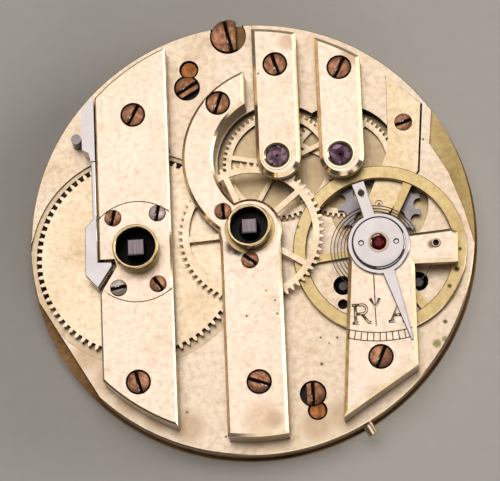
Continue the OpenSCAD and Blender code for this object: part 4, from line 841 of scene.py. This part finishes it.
for reach, cut_r, turn in cuts:
    a = math.radians(turn)
    bpy.ops.mesh.primitive_cylinder_add(vertices=40, radius=cut_r, depth=escape_height + 0.2 * MM, location=(
        escape_mid.x + reach * math.cos(a), escape_mid.y + reach * math.sin(a), escape_level))
    cutter = bpy.context.object
    cut = escape_blank.modifiers.new("cut", "BOOLEAN")
    cut.operation, cut.object, cut.solver = "DIFFERENCE", cutter, "EXACT"
    bpy.context.view_layer.objects.active = escape_blank
    bpy.ops.object.modifier_apply(modifier="cut")
    bpy.data.objects.remove(cutter)
dress(escape_blank, grey_steel)
escape_blank.select_set(True)
bpy.ops.object.shade_smooth_by_angle(angle=math.radians(30))
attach(escape_blank, frame["nodes"]["escape_wheel"]["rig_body"])
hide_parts("escape_wheel")

# Escape cock: a thin tongue of gilt brass let into the plate, flush with it, and held by one small screw.
# Old oil has crept along the seam.
wear(gilt_brass("gilt_escape_cock", "#f3e2c3", "#e6cfa4", "#b2925e", 0.33), "escape_cock")
cock_seam = [[(14.85, 3.45), (16.45, 5.6), (17.05, 12.4)]]
lay(drawn_lines("escape_cock_seam", cock_seam, 0.2, 0.004), plate_top, oil_and_shade_black, "movement")

# Balance: a plain ring of gold-coloured brass with three arms, turned, then burnished bright at its edges. It
# sits on the staff under the collet, and has a few dark specks.
balance_marks = [(4.5, 0.5, 0.25, "#5f7a55"), (19.6, -4.6, 0.3, "#2e2216"), (20, -2.6, 0.22, "#2e2216"),
                 (18.8, -6.2, 0.25, "#3a2c1a")]
balance_gold = gilt_brass("gold_balance", "#d8c596", "#c5ae7a", "#8e7548", 0.27, spots=balance_marks)
balance = worked_copy("balance_wheel", "balance_wheel_burnished", [balance_gold, chamfer_gilt])
chamfer(balance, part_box("balance_wheel")[1].z / MM, 0.07)

# Hairspring: a ribbon of tempered steel, brown-grey with age, wound flat. It is pinned to the collet at its
# inner end and to the stud on the balance cock at its outer end.
spring_low, spring_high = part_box("hairspring")
spring_mid = (spring_low.z + spring_high.z) / 2 / MM
spring_turns, spring_inner, spring_body_r, spring_outer = 12, 0.95, 4.45, 5.4
spring_flare, spring_drift, turn_steps = 0.35, -0.4, 48
spring_end = math.radians(-2.1)
ribbon_height, ribbon_wall = 0.18 * MM, 0.065 * MM
spring_points = []
for i in range(spring_turns * turn_steps + 1):
    turn = i / turn_steps
    share = turn / spring_turns
    radius = spring_inner + (spring_body_r - spring_inner) * share
    last = max(0.0, turn - spring_turns + spring_flare) / spring_flare
    radius += (spring_outer - spring_body_r) * last * last * (3 - 2 * last)
    angle = spring_end + (turn - spring_turns) * 2 * math.pi
    drift = spring_drift * share * (1 - min(1.0, last))
    spring_points.append((balance_axis[0] + drift + radius * math.cos(angle),
                          balance_axis[1] + radius * math.sin(angle)))
ribbon_path = bpy.data.curves.new("hairspring_ribbon", "CURVE")
ribbon_path.dimensions = "3D"
ribbon_path.extrude = ribbon_height / 2
ribbon_spline = ribbon_path.splines.new("POLY")
ribbon_spline.points.add(len(spring_points) - 1)
for point, (x, y) in zip(ribbon_spline.points, spring_points):
    point.co = (x * MM, y * MM, spring_mid * MM, 1)
ribbon = bpy.data.objects.new("hairspring_ribbon", ribbon_path)
bpy.context.collection.objects.link(ribbon)
take(ribbon)
bpy.ops.object.convert(target="MESH")
ribbon = bpy.context.object
wall = ribbon.modifiers.new("ribbon_wall", "SOLIDIFY")
wall.thickness, wall.offset = ribbon_wall, 0
bpy.ops.object.modifier_apply(modifier="ribbon_wall")
bpy.ops.object.mode_set(mode="EDIT")
bpy.ops.mesh.select_all(action="SELECT")
bpy.ops.mesh.normals_make_consistent(inside=False)
bpy.ops.object.mode_set(mode="OBJECT")
bpy.ops.object.shade_smooth_by_angle(angle=math.radians(40))
dress(ribbon, polished_steel("aged_spring_steel", "#5f544c", "#2e2823", 0.3))
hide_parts("hairspring")
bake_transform(ribbon)

# Balance cock: a gilt bar with a round head, an arm for the hairspring stud and a slanted foot. A curved
# scale with the letters R and A is engraved beside the regulator's pointer.
stud_at, stud_room, stud_hole, head_room = (17.75, -2.4), 0.6, 0.27, 2.9
balance_bar = worked_copy("balance_cock", "balance_cock_filed", [bar_gilt, chamfer_gilt, oil_and_shade_black])
chamfer(balance_bar, bar_top, 0.34, [(*balance_axis, head_room), (*stud_at, stud_room), *screw_rooms])
# Painted shade in the counterbores of the screws.
blacken(balance_bar, shade_black, screw_rooms, bar_top)
stud_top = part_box("hairspring_stud")[1].z / MM
stud = worked_copy("hairspring_stud", "hairspring_stud_rounded", [wheel_brass, oil_and_shade_black])
file_edges(stud, stud_top, 0.06, steps=2)
# Painted shade in the stud's hole.
blacken(stud, 1, [(*stud_at, stud_hole)], stud_top - 0.05)
engraving_dirt_and_hole_shade = oil_dirt_and_shade("engraving_dirt_and_hole_shade_brown", "#4a3420", "#8b6a42")
scale_at, scale_in, scale_out, first_tick, tick_step, tick_count = (12.3, 1.4), 12.27, 13.1, -105, 2.7, 11
arrow_x, arrow_half, letter_base, r_left, a_left = 11.65, 0.45, -9.85, 9.42, 12.85
scale_lines = [ring_line(*scale_at, scale_in, -106, -77), ring_line(*scale_at, scale_out, -105, -77.5)]
for tick in range(tick_count):
    scale_lines.append(ray_line(*scale_at, scale_in, scale_out, first_tick + tick_step * tick))
scale_lines.append([(arrow_x, -5.2), (arrow_x, -10.2)])
letter_r = [[(0.35, 0), (0.35, 2)], [(0, 0), (0.75, 0)], [(0, 2), (0.5, 2)], [(1, 1), (1.75, 0), (2.05, 0)],
            [(0.35, 2), (1.05, 2)] + ring_line(1.05, 1.5, 0.5, 90, -90) + [(0.35, 1)]]
letter_a = [[(0.3, 0), (1, 2), (1.7, 0)], [(0.55, 0.7), (1.45, 0.7)], [(0, 0), (0.6, 0)], [(1.4, 0), (2, 0)]]
letters = [[(r_left + 0.9 * x, letter_base + 0.88 * y) for x, y in line] for line in letter_r]
letters += [[(a_left + 0.95 * x, letter_base + 0.85 * y) for x, y in line] for line in letter_a]
letters.append([(arrow_x - arrow_half, -7.5), (arrow_x, -8.4), (arrow_x + arrow_half, -7.5)])
for marks, lines, width, height, finish in (("regulator_scale", scale_lines, 0.1, 0.008, engraving_dirt_and_hole_shade),
                                            ("scale_letters", letters, 0.2, 0.022, bar_gilt),
                                            ("letter_dirt", letters, 0.3, 0.006, engraving_dirt_and_hole_shade)):
    lay(drawn_lines(marks, lines, width, height), bar_top, finish, "movement")

# Regulator and endstone cap: polished steel. The cap's rim is rounded, so that it mirrors the dark room. It
# holds the endstone in a dished rose-gold setting, and the regulator carries the curb pins on its tail.
cap_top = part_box("endstone_cap")[1].z / MM
cap_rim_r, dish_r, dimple_at, dimple_r = 2.2, 0.8, 1.68, 0.24
steel_cap = worked_copy("endstone_cap", "endstone_cap_rounded",
                        [bright_steel, polished_steel("mirror_steel", "#b9b5b7", "#8f8b8e", 0.03)])
file_edges(steel_cap, cap_top, 0.22, lambda x, y: math.dist((x, y), balance_axis) > cap_rim_r, steps=4,
           finish=1)
setting_gold = gilt_brass("rose_gold_setting", "#c9b0a2", "#aa8f82", "#5a443a", 0.14)
setting = worked_copy("endstone_setting", "endstone_setting_dished", [setting_gold])
file_edges(setting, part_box("endstone_setting")[1].z / MM, 0.27,
           lambda x, y: math.dist((x, y), balance_axis) < dish_r, steps=3)
# Painted shade: dark steel rings drawn round the two dimples in the cap.
dimples = [ring_line(balance_axis[0] + side * dimple_at, balance_axis[1], dimple_r) for side in (-1, 1)]
lay(drawn_lines("cap_dimple_shade_rings", dimples, 0.1, 0.006), cap_top, dark_steel, "movement")
regulator_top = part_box("regulator")[1].z / MM
index = worked_copy("regulator", "regulator_eased", [bright_steel])
chamfer(index, regulator_top, 0.06, finish=0)
curb_low, curb_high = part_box("curb_pins")
curb_mid = (curb_low + curb_high) / 2 / MM
# Painted shade: a dark brown disc for the shaded hole between the curb pins.
socket = drawn_lines("curb_pin_hole_shade", [ring_line(curb_mid.x, curb_mid.y, 0.16)], 0.34, 0.006)
lay(socket, regulator_top, engraving_dirt_and_hole_shade, frame["nodes"]["regulator"]["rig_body"])
